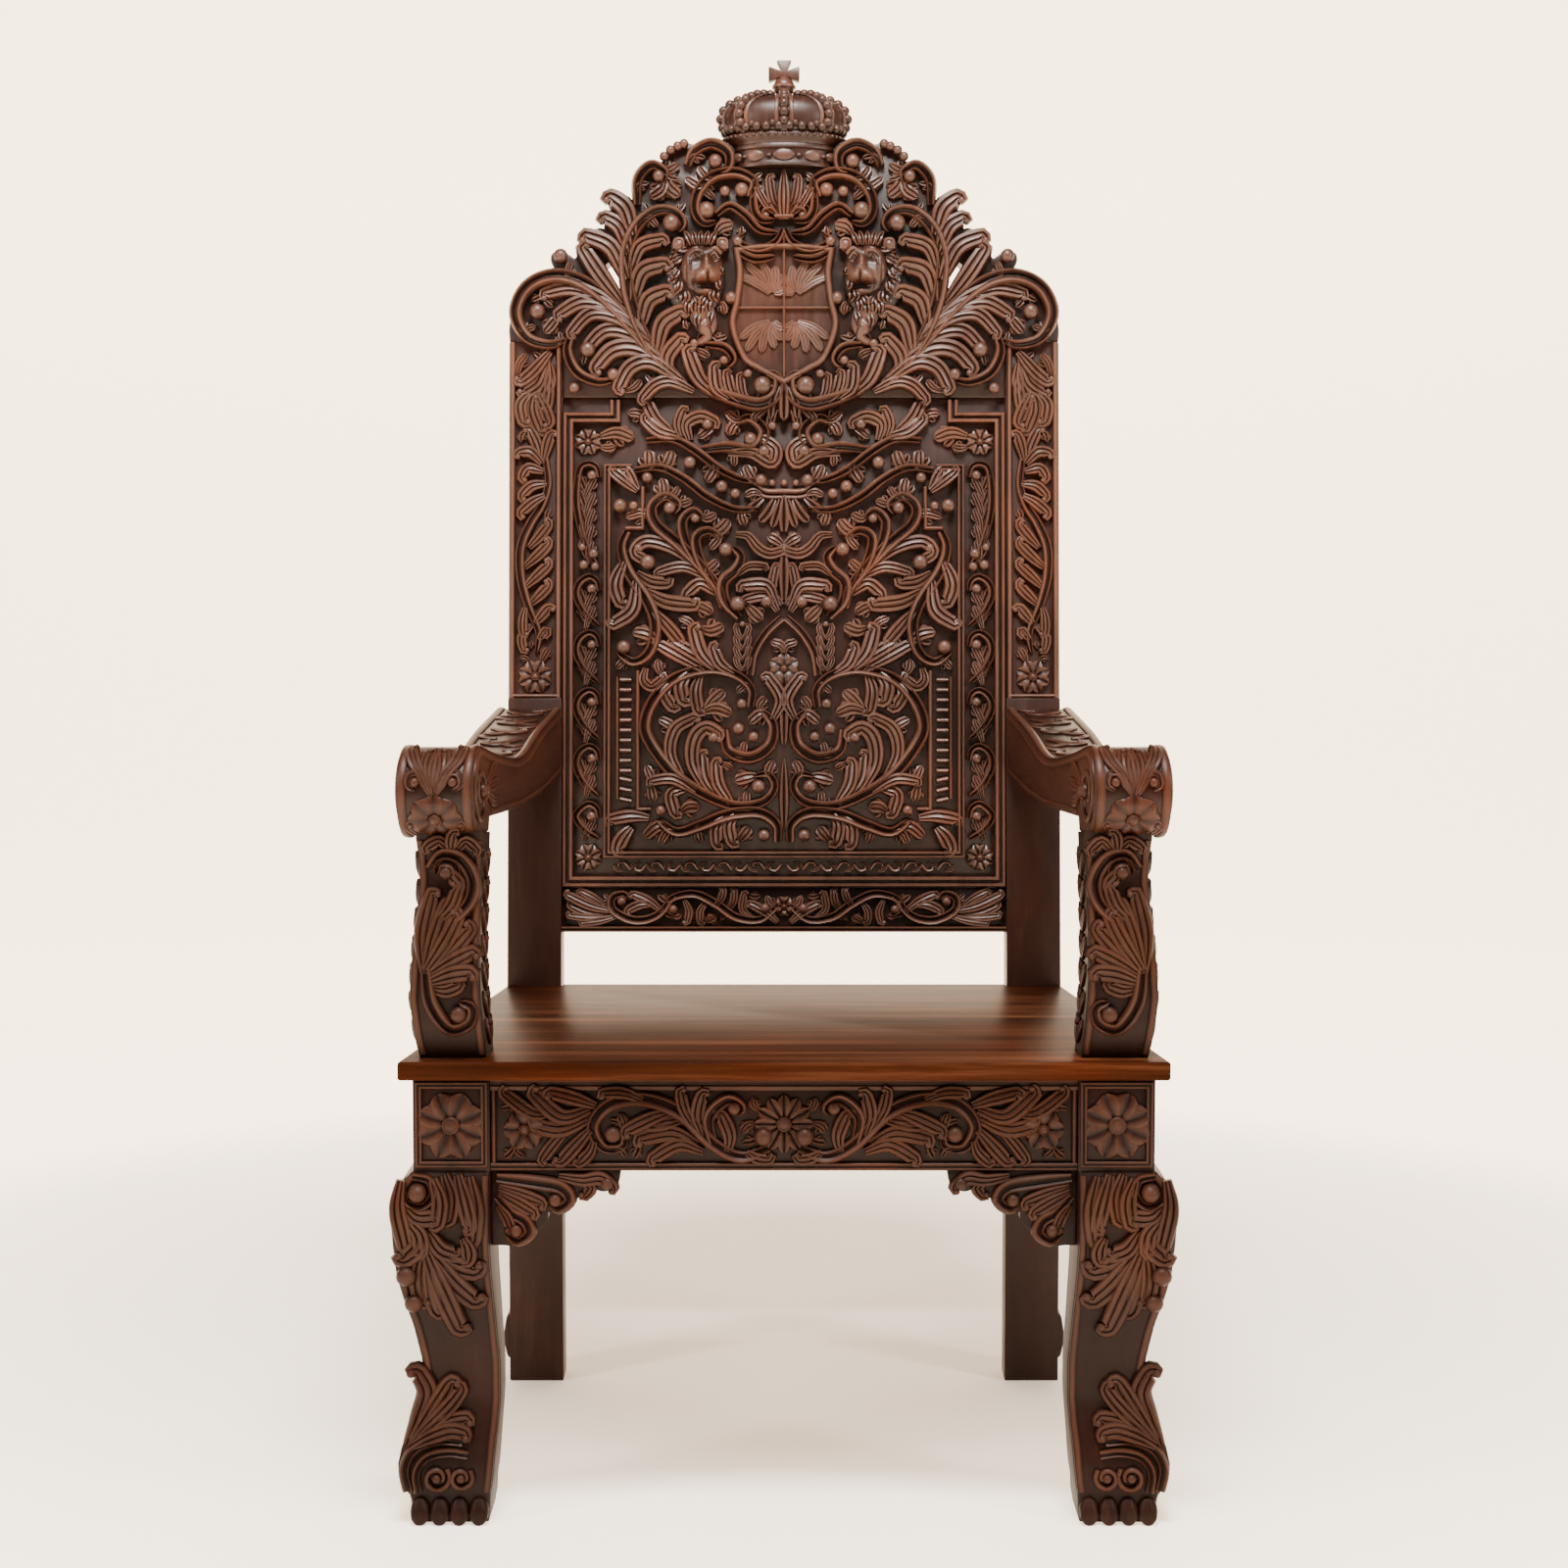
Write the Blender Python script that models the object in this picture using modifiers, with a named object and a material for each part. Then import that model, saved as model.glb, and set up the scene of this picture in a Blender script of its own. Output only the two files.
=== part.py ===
"""Carved hardwood throne: a raked, crowned back, scroll arms and cabriole front legs with paw feet.

The throne faces -Y and stands on z = 0. Lengths are in metres. The carving is drawn in drawing
units, which stretch with the board that it is cut in.
"""
import math

import bmesh
import bpy
from mathutils import Matrix, Vector

# Seat
SEAT_HEIGHT = 0.500
SEAT_THICKNESS = 0.020
SEAT_DEPTH = 0.560
SEAT_FRONT_WIDTH = 0.817
SEAT_REAR_WIDTH = 0.688
SEAT_EDGE_ROUND = 0.003

# Back, measured along its rake from the seat
BACK_RAKE = math.radians(6.0)
BACK_WIDTH = 0.687
POST_WIDTH = 0.067
POST_DEPTH = 0.052
POST_LENGTH = 0.803
POST_FIELD_START = 0.357
POST_FIELD_MARGIN = 0.008
POST_FIELD_DEPTH = 0.006
PANEL_START = 0.121
PANEL_TOP = 0.733
PANEL_BACK = 0.034
PANEL_GROUND = 0.014
RAIL_START = 0.066
RAIL_BACK = 0.034
RAIL_GROUND = 0.012
CREST_HEIGHT = 1.022
CREST_BACK = 0.040
CREST_GROUND = 0.006
CROWN_HEIGHT = 0.138
CROWN_BASE_WIDTH = 0.118
CROWN_FLATTENING = 0.52
CROWN_SETBACK = 0.020
CROWN_CROSS_HALF = 0.0196
CROWN_CROSS_THICKNESS = 0.014
ORB_RADIUS = 0.014
SHIELD_RIM_SHARE = 0.88
SHIELD_FIELD_SHARE = 0.94
SHIELD_RIM_RISE = 0.013
SHIELD_FIELD_RISE = 0.007

# Seat frame and legs
APRON_HEIGHT = 0.100
APRON_THICKNESS = 0.024
APRON_SETBACK = 0.004
APRON_GROUND = 0.009
BLOCK_WIDTH = 0.0815
BLOCK_DEPTH = 0.078
BLOCK_INSET = 0.0145
BLOCK_SETBACK = 0.016
BRACKET_LENGTH = 0.138
BRACKET_HEIGHT = 0.084
BRACKET_THICKNESS = 0.030
BRACKET_GROUND = 0.006
TOE_HEIGHT = 0.027
TOE_OVERHANG = 0.0022
TOE_REACH = 0.010

# Arms
ARM_WIDTH = 0.080
ARM_SCROLL_DIAMETER = 0.095
ARM_SCROLL_TOP = 0.330
ARM_POST_TOP = 0.342
ARM_POST_BOTTOM = 0.262
ARM_SET_OUT = 0.016
ARM_DIP = 0.300
ARM_WAIST = 0.056
SUPPORT_WIDTH = 0.081
SUPPORT_DEPTH = 0.084
SUPPORT_SETBACK = 0.022
SUPPORT_INSET = 0.0155

# Clearance between touching pieces, and how far carving is sunk in the wood behind it
FIT_GAP = 0.0003
SINK = 0.003

# The carver's drawing: what the edges of the boards measure in drawing units
DRAWN_HALF_BACK = 343.5
DRAWN_POST_WIDTH = 67.0
DRAWN_PANEL_START = 121.0
DRAWN_PANEL_TOP = 733.0
DRAWN_PANEL_EDGE = 276.0
DRAWN_POST_FIELD = 357.0
DRAWN_POST_TOP = 803.0
DRAWN_CREST_TOP = 1022.0
DRAWN_NOTCH = 1036.0
DRAWN_BRIM = 28.0
DRAWN_CROWN_HEIGHT = 138.0
DRAWN_RAIL = (66.0, 120.0)
DRAWN_APRON = (380.0, 480.0)
DRAWN_BLOCK = (312.5, 394.0)
DRAWN_BLOCK_DEPTH = 78.0
DRAWN_BRACKET = (174.0, 296.0)
DRAWN_SUPPORT = (316.0, 397.0)
DRAWN_SUPPORT_OUTER = 393.0
DRAWN_SUPPORT_HEIGHT = 234.5
DRAWN_SUPPORT_DEPTH = 84.0
DRAWN_SEAT_HEIGHT = 500.0

# What follows from the sizes above
CREST_START = POST_LENGTH + FIT_GAP
REACH_BEHIND_SEAT = (CREST_HEIGHT + CROWN_HEIGHT / 2) * math.sin(BACK_RAKE) + POST_DEPTH
SEAT_FRONT_Y = -(SEAT_DEPTH + REACH_BEHIND_SEAT) / 2
HINGE_Y = SEAT_FRONT_Y + SEAT_DEPTH
SEAT_UNDERSIDE = SEAT_HEIGHT - SEAT_THICKNESS
SIDE_SLOPE = (SEAT_FRONT_WIDTH - SEAT_REAR_WIDTH) / 2 / SEAT_DEPTH
HALF_BACK = BACK_WIDTH / 2
POST_INNER = HALF_BACK - POST_WIDTH
BETWEEN_POSTS = POST_INNER - FIT_GAP
LEG_LENGTH = SEAT_UNDERSIDE - FIT_GAP
APRON_BOTTOM = LEG_LENGTH - APRON_HEIGHT
BLOCK_OUTER = SEAT_FRONT_WIDTH / 2 - BLOCK_INSET
BLOCK_INNER = BLOCK_OUTER - BLOCK_WIDTH
BLOCK_FRONT_Y = SEAT_FRONT_Y + BLOCK_SETBACK
BLOCK_REAR_Y = BLOCK_FRONT_Y + BLOCK_DEPTH
BACK_SCALE = HALF_BACK / DRAWN_HALF_BACK
POST_SCALE = POST_WIDTH / DRAWN_POST_WIDTH
CROWN_SCALE = CROWN_HEIGHT / DRAWN_CROWN_HEIGHT
BLOCK_SCALE = BLOCK_WIDTH / (DRAWN_BLOCK[1] - DRAWN_BLOCK[0])
BLOCK_DEPTH_SCALE = BLOCK_DEPTH / DRAWN_BLOCK_DEPTH
PANEL_SCALE = BETWEEN_POSTS / DRAWN_PANEL_EDGE
SUPPORT_SCALE = SUPPORT_WIDTH / (DRAWN_SUPPORT[1] - DRAWN_SUPPORT[0])
SUPPORT_DEPTH_SCALE = SUPPORT_DEPTH / DRAWN_SUPPORT_DEPTH

# Right half of the crest's outline as arcs: start, a point on the way, end (drawing units)
CREST_LOBES = (
    ((336, 812), (340, 860), (302, 889)),
    ((285, 893), (289, 915), (266, 909)),
    ((262, 906), (252, 922), (242, 917)),
    ((238, 920), (248, 937), (226, 943)),
    ((221, 945), (222, 959), (211, 966)),
    ((213, 968), (218, 987), (199, 985)),
    ((185, 982), (175, 1024), (150, 1029)),
    ((147, 1033), (138, 1051), (119, 1053)),
    ((114, 1050), (96, 1054), (71, 1032)),
)
CREST_HOLE = ((203, 868), (208, 895), (215, 907), (223, 900), (217, 884))

# Stems and leaves of the crest: half width, then the points that it runs through
CREST_STEMS = (
    (10, (125, 758), (170, 797), (215, 850), (255, 880), (292, 884), (328, 858), (318, 822), (280, 816)),
    (8, (150, 785), (210, 842), (258, 868), (292, 862)),
    (8, (165, 800), (215, 836), (250, 836), (266, 815)),
    (10, (140, 770), (180, 794), (212, 794), (233, 774)),
    (8, (126, 757), (160, 773), (186, 770), (202, 752)),
    (9, (127, 758), (167, 797), (191, 850), (198, 905), (186, 944), (162, 966), (134, 964), (124, 946)),
    (9, (206, 857), (229, 885), (249, 914)),
    (9, (197, 885), (216, 922), (243, 933)),
    (9, (189, 938), (197, 968), (214, 982)),
    (9, (188, 865), (178, 900), (155, 912)),
    (10, (178, 822), (170, 853), (150, 866)),
    (10, (158, 785), (152, 815), (134, 826)),
    (8, (100, 750), (112, 765), (118, 784)),
    (8, (184, 972), (181, 1008), (160, 1026), (146, 1008)),
    (8, (120, 1022), (110, 1038), (92, 1037), (82, 1022)),
    (8, (43, 982), (42, 1000), (70, 1011), (102, 996), (110, 964), (92, 946)),
    (7, (85, 962), (62, 972), (38, 950), (12, 939)),
    (7, (57, 915), (37, 905), (13, 909)),
    (7, (256, 806), (262, 782), (242, 755), (212, 756)),
    (8, (98, 750), (60, 746), (14, 750)),
    (8, (98, 799), (74, 795), (60, 778)),
)
CREST_BALLS = (
    (308, 842, 12), (279, 908, 12), (142, 948, 11), (158, 1008, 9), (97, 1022, 8), (92, 970, 12),
    (53, 993, 9), (27, 757, 11), (240, 786, 9),
)
SHIELD_ARCS = (
    ((0, 922), (30, 921), (59, 917)),
    ((59, 917), (54, 888), (59, 852)),
    ((59, 852), (66, 822), (50, 783)),
    ((50, 783), (27, 769), (0, 753)),
)
LION_FACE = (104, 890)

# Crown: radius and height of its turned outline, from the top
CROWN_PROFILE = (
    (0, 94), (32, 93), (58, 88), (74, 76), (80, 62), (73, 47), (77, 39), (66, 30), (61, 26), (60, 6), (59, 0),
    (0, 0),
)
CROWN_ARCHES = 8
ARCH_HEIGHTS = (50, 92)
ARCH_SWELL = 1.10
CORONET_KNOB = (71, 38.2, 9.8)
SIDE_ARCH_BEADS = ((82, 56, 6), (82, 67, 6), (77, 78, 6), (66, 86, 6))

# The back panel: frame mouldings as left, bottom, right and top edges, then the carving
PANEL_RIBS = (
    (262.5, 121, 276, 717), (216.5, 160, 226, 651), (206, 701, 216, 733), (0, 121, 275, 136),
    (0, 158, 225, 166), (207, 700, 275, 716), (190, 641, 225, 650), (179, 215, 186, 392),
    (173, 568, 180, 622), (176, 566, 198, 574),
)
PANEL_STEMS = (
    (6, (6, 727), (18, 716), (28, 706)),
    (7, (172, 680), (132, 680), (80, 644), (30, 630)),
    (7, (186, 643), (140, 642), (95, 608), (30, 596)),
    (9, (112, 676), (70, 666), (34, 668), (26, 694), (50, 708)),
    (8, (130, 684), (155, 694), (170, 712)),
    (8, (76, 470), (86, 500), (128, 546), (162, 576), (158, 606), (132, 602)),
    (8, (102, 516), (122, 550), (127, 578), (106, 590)),
    (8, (86, 492), (106, 532), (106, 562), (76, 558)),
    (8, (110, 524), (150, 548), (180, 548)),
    (8, (56, 458), (74, 478), (76, 502), (60, 518), (54, 536)),
    (8, (10, 478), (22, 498), (48, 498)),
    (9, (196, 566), (203, 545), (194, 515), (170, 478), (160, 446), (170, 412), (196, 400), (212, 416)),
    (9, (184, 504), (190, 474), (208, 456)),
    (9, (174, 492), (148, 478), (118, 474)),
    (9, (42, 346), (41, 368), (60, 386), (95, 393), (135, 382), (160, 358), (173, 328), (168, 304),
     (138, 264), (100, 238), (60, 223), (26, 228), (12, 252), (34, 266)),
    (8, (98, 392), (128, 408), (150, 424)),
    (8, (78, 390), (96, 410), (104, 434)),
    (8, (118, 388), (128, 374), (126, 356)),
    (9, (78, 312), (66, 290), (40, 283), (16, 300), (24, 338)),
    (8, (126, 256), (142, 288), (136, 318), (116, 332)),
    (9, (98, 244), (114, 276), (108, 312), (84, 316)),
    (9, (72, 230), (86, 252), (90, 276)),
    (9, (8, 178), (12, 202), (36, 214), (70, 212), (104, 198), (134, 190), (156, 206)),
    (8, (110, 240), (138, 254), (162, 252)),
    (9, (170, 206), (190, 196), (206, 180)),
)
PANEL_BALLS = (
    (118, 654, 9), (42, 682, 9), (205, 598, 10), (143, 592, 8), (168, 527, 10), (58, 475, 10), (198, 421, 9),
    (54, 352, 8), (50, 312, 10), (34, 247, 9), (26, 188, 8),
)
PANEL_ROSETTES = ((245, 679, 18), (244, 159, 18))
BORDER_TOP = 655
BORDER_BOTTOM = 180
BORDER_UNITS = 7
BORDER_MIDDLE = 245
LADDER = (191, 205, 232, 384)
LADDER_RUNGS = 7

RAIL_STEMS = (
    (6, (12, 96), (34, 81), (62, 84), (84, 100), (112, 113), (142, 106), (146, 88)),
    (6, (136, 112), (158, 86), (186, 81), (214, 94), (206, 114)),
    (6, (214, 90), (240, 98), (264, 108)),
)
RAIL_BALLS = ((30, 97, 7), (196, 101, 7))

# Post vine, from the middle of the post
POST_STEMS = (
    (6, (-12, 640), (-6, 600), (14, 560), (18, 510), (-2, 450)),
    (8, (10, 530), (-6, 546), (-18, 556)),
    (8, (8, 496), (-6, 510), (-18, 516)),
    (8, (2, 466), (-8, 476), (-18, 480)),
    (9, (-2, 590), (0, 640), (0, 686)),
    (9, (4, 735), (-8, 716), (-18, 700)),
    (9, (4, 737), (16, 726), (22, 710)),
    (9, (-18, 790), (0, 762), (22, 752)),
)
POST_ROSETTE = (0, 384, 21)

APRON_STEMS = (
    (8, (24, 400), (50, 394), (75, 408), (110, 444), (150, 458), (188, 450), (203, 424), (180, 403)),
    (8, (76, 408), (78, 440), (52, 456)),
    (8, (88, 420), (96, 442), (104, 460)),
    (8, (92, 408), (118, 418), (148, 414)),
    (8, (206, 442), (236, 436), (262, 458)),
    (8, (206, 424), (222, 404), (236, 394)),
)
APRON_BALLS = ((182, 422, 10), (45, 415, 10))
APRON_FLOWERS = ((0, 430, 30), (276, 424, 24))
BLOCK_FLOWER = (353.5, 428, 30)

BRACKET_STEMS = (
    (9, (298, 368), (266, 366), (236, 360), (232, 342)),
    (9, (298, 350), (278, 330), (272, 314), (284, 308)),
    (7, (240, 374), (212, 370), (188, 364)),
)
BRACKET_BALLS = ((250, 344, 8), (292, 324, 8))
BRACKET_LOBES = (
    ((184, 358), (196, 357), (203, 362)),
    ((222, 347), (232, 330), (252, 334)),
    ((256, 325), (262, 316), (272, 312)),
    ((272, 312), (282, 297), (300, 298)),
)

# Front leg seen from the front: height, outer edge, inner edge; then its front and rear in depth
LEG_OUTLINE = (
    (480, 394, 312.5), (381, 394, 312.5), (372, 405, 312.5), (356, 415, 312.5), (330, 418, 312.5),
    (300, 416, 312.5), (292, 415, 312.5), (268, 413, 311), (240, 406, 309), (212, 397, 307),
    (170, 388, 304), (130, 387, 304), (104, 398, 306), (84, 409, 308), (60, 414, 310), (40, 409, 312),
    (30, 400, 314),
)
LEG_DEPTHS = (
    (480, 0, 78), (381, 0, 78), (372, -5, 80), (356, -9, 84), (330, -11, 86), (300, -10, 86), (268, -6, 84),
    (240, 0, 80), (212, 6, 76), (170, 12, 74), (130, 12, 74), (104, 6, 76), (84, -1, 80), (60, -7, 84),
    (40, -8, 86), (30, -6, 86),
)
LEG_STEMS = (
    (10, (350, 370), (370, 344), (392, 340)),
    (10, (366, 330), (360, 300), (346, 288)),
    (10, (374, 300), (352, 272), (332, 262)),
    (10, (376, 292), (366, 250), (350, 220)),
    (10, (380, 300), (386, 262), (390, 240)),
    (10, (384, 154), (370, 146), (362, 118)),
    (10, (398, 52), (390, 80), (366, 88), (340, 96)),
    (9, (380, 56), (384, 42), (368, 36)),
    (9, (350, 58), (352, 42), (336, 38)),
)
TOE_COUNT = 4

SUPPORT_STEMS = (
    (8, (374, 700), (352, 718), (332, 698), (336, 664), (362, 640)),
    (8, (374, 600), (352, 630), (338, 638)),
    (8, (376, 590), (352, 606), (338, 610)),
    (8, (378, 600), (374, 566), (352, 538), (334, 548)),
)
SUPPORT_BALLS = ((354, 700, 8), (345, 548, 7))

# Arm support: height, outer and inner edge seen from the front, then front and rear in depth
SUPPORT_RINGS = (
    (234.5, 390, 318, 6, 84), (214, 388, 319, 12, 84), (190, 387, 320, 12, 83), (160, 389, 321, 6, 84),
    (130, 392, 322, 0, 86), (100, 395, 322, -4, 88), (64, 397, 321, -6, 88), (36, 394, 319, -4, 86),
    (14, 391, 317, 2, 82), (0, 388, 316, 6, 78),
)
ARM_SCROLL_LEAVES = (-0.62, -0.2, 0.2, 0.62)

WOOD_COLOURS = {
    "carved": (0.120, 0.052, 0.032, 1.0),
    "plain": (0.145, 0.064, 0.038, 1.0),
    "seat": (0.210, 0.092, 0.045, 1.0),
}
WOOD_ROUGHNESS = 0.38


def clear_scene():
    for old in list(bpy.data.objects):
        bpy.data.objects.remove(old)


def new_collection(name):
    collection = bpy.data.collections.new(name)
    bpy.context.scene.collection.children.link(collection)
    return collection


def wood(name, tone):
    material = bpy.data.materials.new(name)
    material.use_nodes = True
    shader = material.node_tree.nodes["Principled BSDF"]
    shader.inputs["Base Color"].default_value = WOOD_COLOURS[tone]
    shader.inputs["Roughness"].default_value = WOOD_ROUGHNESS
    shader.inputs["Metallic"].default_value = 0.0
    return material


def add_object(name, data, collection, parent=None, tone=None):
    item = bpy.data.objects.new(name, data)
    collection.objects.link(item)
    item.parent = parent
    if tone:
        item.data.materials.append(wood(name + "_wood", tone))
    return item


def hide_guide(item):
    item.hide_render = True
    item.display_type = "WIRE"
    return item


def evaluated_mesh(item):
    bpy.context.view_layer.update()
    graph = bpy.context.evaluated_depsgraph_get()
    return bpy.data.meshes.new_from_object(item.evaluated_get(graph))


def weld(shape):
    bmesh.ops.remove_doubles(shape, verts=shape.verts, dist=1e-6)
    bmesh.ops.recalc_face_normals(shape, faces=shape.faces)


def mesh_from(shape, name):
    mesh = bpy.data.meshes.new(name)
    shape.to_mesh(mesh)
    shape.free()
    return mesh


def arc_through(start, middle, end, steps):
    """Points of the circle through three points, from the first to the last."""
    a, b, c = Vector(start), Vector(middle), Vector(end)
    double = 2 * ((b - a).x * (c - a).y - (b - a).y * (c - a).x)
    first, second = (b - a).length_squared, (c - a).length_squared
    across = (c - a).y * first - (b - a).y * second
    along = (b - a).x * second - (c - a).x * first
    centre = a + Vector((across, along)) / double
    begin = math.atan2(*(a - centre).yx)
    turn = (math.atan2(*(c - centre).yx) - begin) % math.tau
    if (math.atan2(*(b - centre).yx) - begin) % math.tau > turn:
        turn -= math.tau
    radius = (a - centre).length
    return [
        centre + radius * Vector((math.cos(begin + turn * i / steps), math.sin(begin + turn * i / steps)))
        for i in range(steps + 1)
    ]


def smooth_path(points, per_span=4):
    """A Catmull-Rom curve through the points."""
    ends = [2 * Vector(points[0]) - Vector(points[1]), 2 * Vector(points[-1]) - Vector(points[-2])]
    knots = [ends[0], *[Vector(p) for p in points], ends[1]]
    path = []
    for a, b, c, d in zip(knots, knots[1:], knots[2:], knots[3:]):
        for i in range(per_span):
            t = i / per_span
            path.append(b + (c - a) * t / 2 + (2 * a - 5 * b + 4 * c - d) * t * t / 2
                        + (3 * b - a - 3 * c + d) * t ** 3 / 2)
    return path + [Vector(points[-1])]


def thinned(path, bend=math.radians(50), longest=90.0):
    """Leaves out points of a path where it hardly bends."""
    kept = [path[0]]
    heading = path[1] - path[0]
    for point, following in zip(path[1:], path[2:]):
        ahead = following - point
        if heading.angle(ahead) > bend or (point - kept[-1]).length > longest:
            kept.append(point)
            heading = ahead
    return kept + [path[-1]]


def slab(name, outline, back, front, holes=()):
    """A flat board from its outline, between two depths, as a mesh."""
    curve = bpy.data.curves.new(name, "CURVE")
    curve.dimensions = "2D"
    curve.fill_mode = "BOTH"
    curve.extrude = (front - back) / 2
    for loop in (outline, *holes):
        spline = curve.splines.new("POLY")
        spline.points.add(len(loop) - 1)
        spline.use_cyclic_u = True
        for point, place in zip(spline.points, loop):
            point.co = (place[0], place[1], 0, 1)
    item = bpy.data.objects.new(name, curve)
    bpy.context.scene.collection.objects.link(item)
    shape = bmesh.new()
    shape.from_mesh(evaluated_mesh(item))
    bpy.data.objects.remove(item)
    weld(shape)
    bmesh.ops.translate(shape, verts=shape.verts, vec=(0, 0, (front + back) / 2))
    return shape


def roof_profile():
    """The section of every carved stem: two slopes that meet in a ridge, on a foot sunk in the wood."""
    curve = bpy.data.curves.new("stem_section", "CURVE")
    curve.dimensions = "2D"
    spline = curve.splines.new("POLY")
    section = ((-1, -0.55), (0, 0.8), (1, -0.55))
    spline.points.add(len(section) - 1)
    spline.use_cyclic_u = True
    for point, place in zip(spline.points, section):
        point.co = (*place, 0, 1)
    return curve


def stem_shapes(strokes, section):
    """All stems of one carving as closed solids: each stroke is its path and its half widths."""
    curve = bpy.data.curves.new("stems", "CURVE")
    curve.dimensions = "3D"
    curve.twist_mode = "Z_UP"
    curve.bevel_mode = "OBJECT"
    curve.bevel_object = section
    curve.use_fill_caps = True
    for path, half_widths in strokes:
        spline = curve.splines.new("POLY")
        spline.points.add(len(path) - 1)
        for point, place, half in zip(spline.points, path, half_widths):
            point.co = (*place, 1)
            point.radius = half
    item = bpy.data.objects.new("stems", curve)
    bpy.context.scene.collection.objects.link(item)
    shape = bmesh.new()
    shape.from_mesh(evaluated_mesh(item))
    bpy.data.objects.remove(item)
    weld(shape)
    return shape


def swell(share):
    """Half width of a stem along its length: slim at the root, full in the middle, fine at the tip."""
    return 0.45 + 0.75 * math.sin(math.pi * min(share * 0.8 + 0.12, 1.0)) ** 0.8 if share < 0.97 else 0.22


class Carving:
    """The raised shapes of one board, drawn in drawing units on the board's face."""

    def __init__(self, across, along, ground, start=0.0, drawn_start=0.0, sides=(1, -1)):
        self.across = across
        self.along = along
        self.ground = ground
        self.start = start
        self.drawn_start = drawn_start
        self.sides = sides
        self.strokes = []
        self.shape = bmesh.new()

    def place(self, point, side=1, lift=0.0):
        x = side * (self.start + (point[0] - self.drawn_start) * self.across)
        return Vector((x, self.along(point[1]), self.ground + lift))

    def sides_of(self, x):
        return self.sides if x or self.start else self.sides[:1]

    def stems(self, rows, lift=None):
        for half, *points in rows:
            path = thinned(smooth_path(points))
            total = sum((b - a).length for a, b in zip(path, path[1:]))
            run = 0.0
            shares = [0.0]
            for a, b in zip(path, path[1:]):
                run += (b - a).length / total
                shares.append(run)
            halves = [half * self.across * swell(share) for share in shares]
            for side in self.sides:
                placed = [self.place(p, side, lift(p) if lift else 0.0) for p in path]
                self.strokes.append((placed, halves))

    def centre_leaf(self, half, low, high):
        path = [self.place((0, low + (high - low) * share), 1) for share in (0, 0.5, 1)]
        self.strokes.append((path, [half * self.across * size for size in (0.6, 1.2, 0.3)]))

    def balls(self, rows, lift=None):
        for x, s, radius in rows:
            for side in self.sides_of(x):
                at = self.place((x, s), side, lift((x, s)) if lift else 0.0)
                size = radius * self.across
                bmesh.ops.create_icosphere(
                    self.shape, subdivisions=1, radius=size * 1.1,
                    matrix=Matrix.Translation(at) @ Matrix.Rotation(0.3 * side, 4, "Z"))

    def flowers(self, rows, petals=8, lift=None):
        """Rosettes: a low cone whose rim runs in and out between the petals, and its button."""
        for x, s, radius in rows:
            for side in self.sides_of(x):
                at = self.place((x, s), side, lift((x, s)) if lift else 0.0)
                size = radius * self.across
                made = bmesh.ops.create_cone(
                    self.shape, cap_ends=True, segments=2 * petals, radius1=size, radius2=size * 0.3,
                    depth=0.010, matrix=Matrix.Translation(at + Vector((0, 0, 0.002))))
                rim = [v for v in made["verts"] if (v.co - at).xy.length > size * 0.6]
                rim.sort(key=lambda v: math.atan2(v.co.y - at.y, v.co.x - at.x))
                for vert in rim[::2]:
                    vert.co.xy = at.xy + (vert.co - at).xy * 0.68
                bmesh.ops.create_icosphere(
                    self.shape, subdivisions=1, radius=size * 0.3,
                    matrix=Matrix.Translation(at + Vector((0, 0, 0.006))))

    def rib(self, left, low, right, high, rise):
        """A flat raised rib between two corners; one that starts on the middle line runs across it."""
        for side in self.sides_of(left):
            first = self.place((left if left else -right, low), side, -SINK)
            last = self.place((right, high), side, rise)
            size = Matrix.Diagonal((*[abs(c) for c in last - first], 1))
            bmesh.ops.create_cube(self.shape, size=1.0, matrix=Matrix.Translation((first + last) / 2) @ size)

    def add(self, shape):
        mesh = mesh_from(shape, "added")
        self.shape.from_mesh(mesh)
        bpy.data.meshes.remove(mesh)

    def finish(self, section):
        if self.strokes:
            self.add(stem_shapes(self.strokes, section))
        return mesh_from(self.shape, "carving")


def stretch(drawn_low, drawn_high, low, high):
    """Turns a height of the drawing into a height on the board."""
    return lambda drawn: low + (drawn - drawn_low) / (drawn_high - drawn_low) * (high - low)


def combine(board, operation, mesh, guides, frame):
    """Cuts a guide shape from a board, or raises it on the board so that both are one body."""
    guide = hide_guide(add_object(f"{board.name}_{operation.lower()}", mesh, guides, frame))
    modifier = board.modifiers.new(operation.lower(), "BOOLEAN")
    modifier.operation = operation
    modifier.solver = "EXACT"
    modifier.use_self = operation == "UNION"
    modifier.object = guide
    if operation == "UNION":
        flat = board.modifiers.new("merged flats", "DECIMATE")
        flat.decimate_type = "DISSOLVE"
        flat.angle_limit = math.radians(1.0)


def mirrored_outline(half):
    """A closed outline from its right half, whose first and last points lie on the middle line."""
    return half + [Vector((-p[0], p[1])) for p in reversed(half) if abs(p[0]) > 1e-9]


def loft(sections, name):
    """A closed skin over a stack of rings that have the same number of points."""
    shape = bmesh.new()
    rings = [[shape.verts.new(p) for p in ring] for ring in sections]
    for lower, upper in zip(rings, rings[1:]):
        for i in range(len(lower)):
            j = (i + 1) % len(lower)
            shape.faces.new((lower[i], lower[j], upper[j], upper[i]))
    shape.faces.new(rings[0])
    shape.faces.new(rings[-1])
    weld(shape)
    return mesh_from(shape, name)


def chamfered_ring(left, right, front, rear, z, cut):
    return [
        (left + cut, front, z), (right - cut, front, z), (right, front + cut, z), (right, rear - cut, z),
        (right - cut, rear, z), (left + cut, rear, z), (left, rear - cut, z), (left, front + cut, z),
    ]


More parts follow.
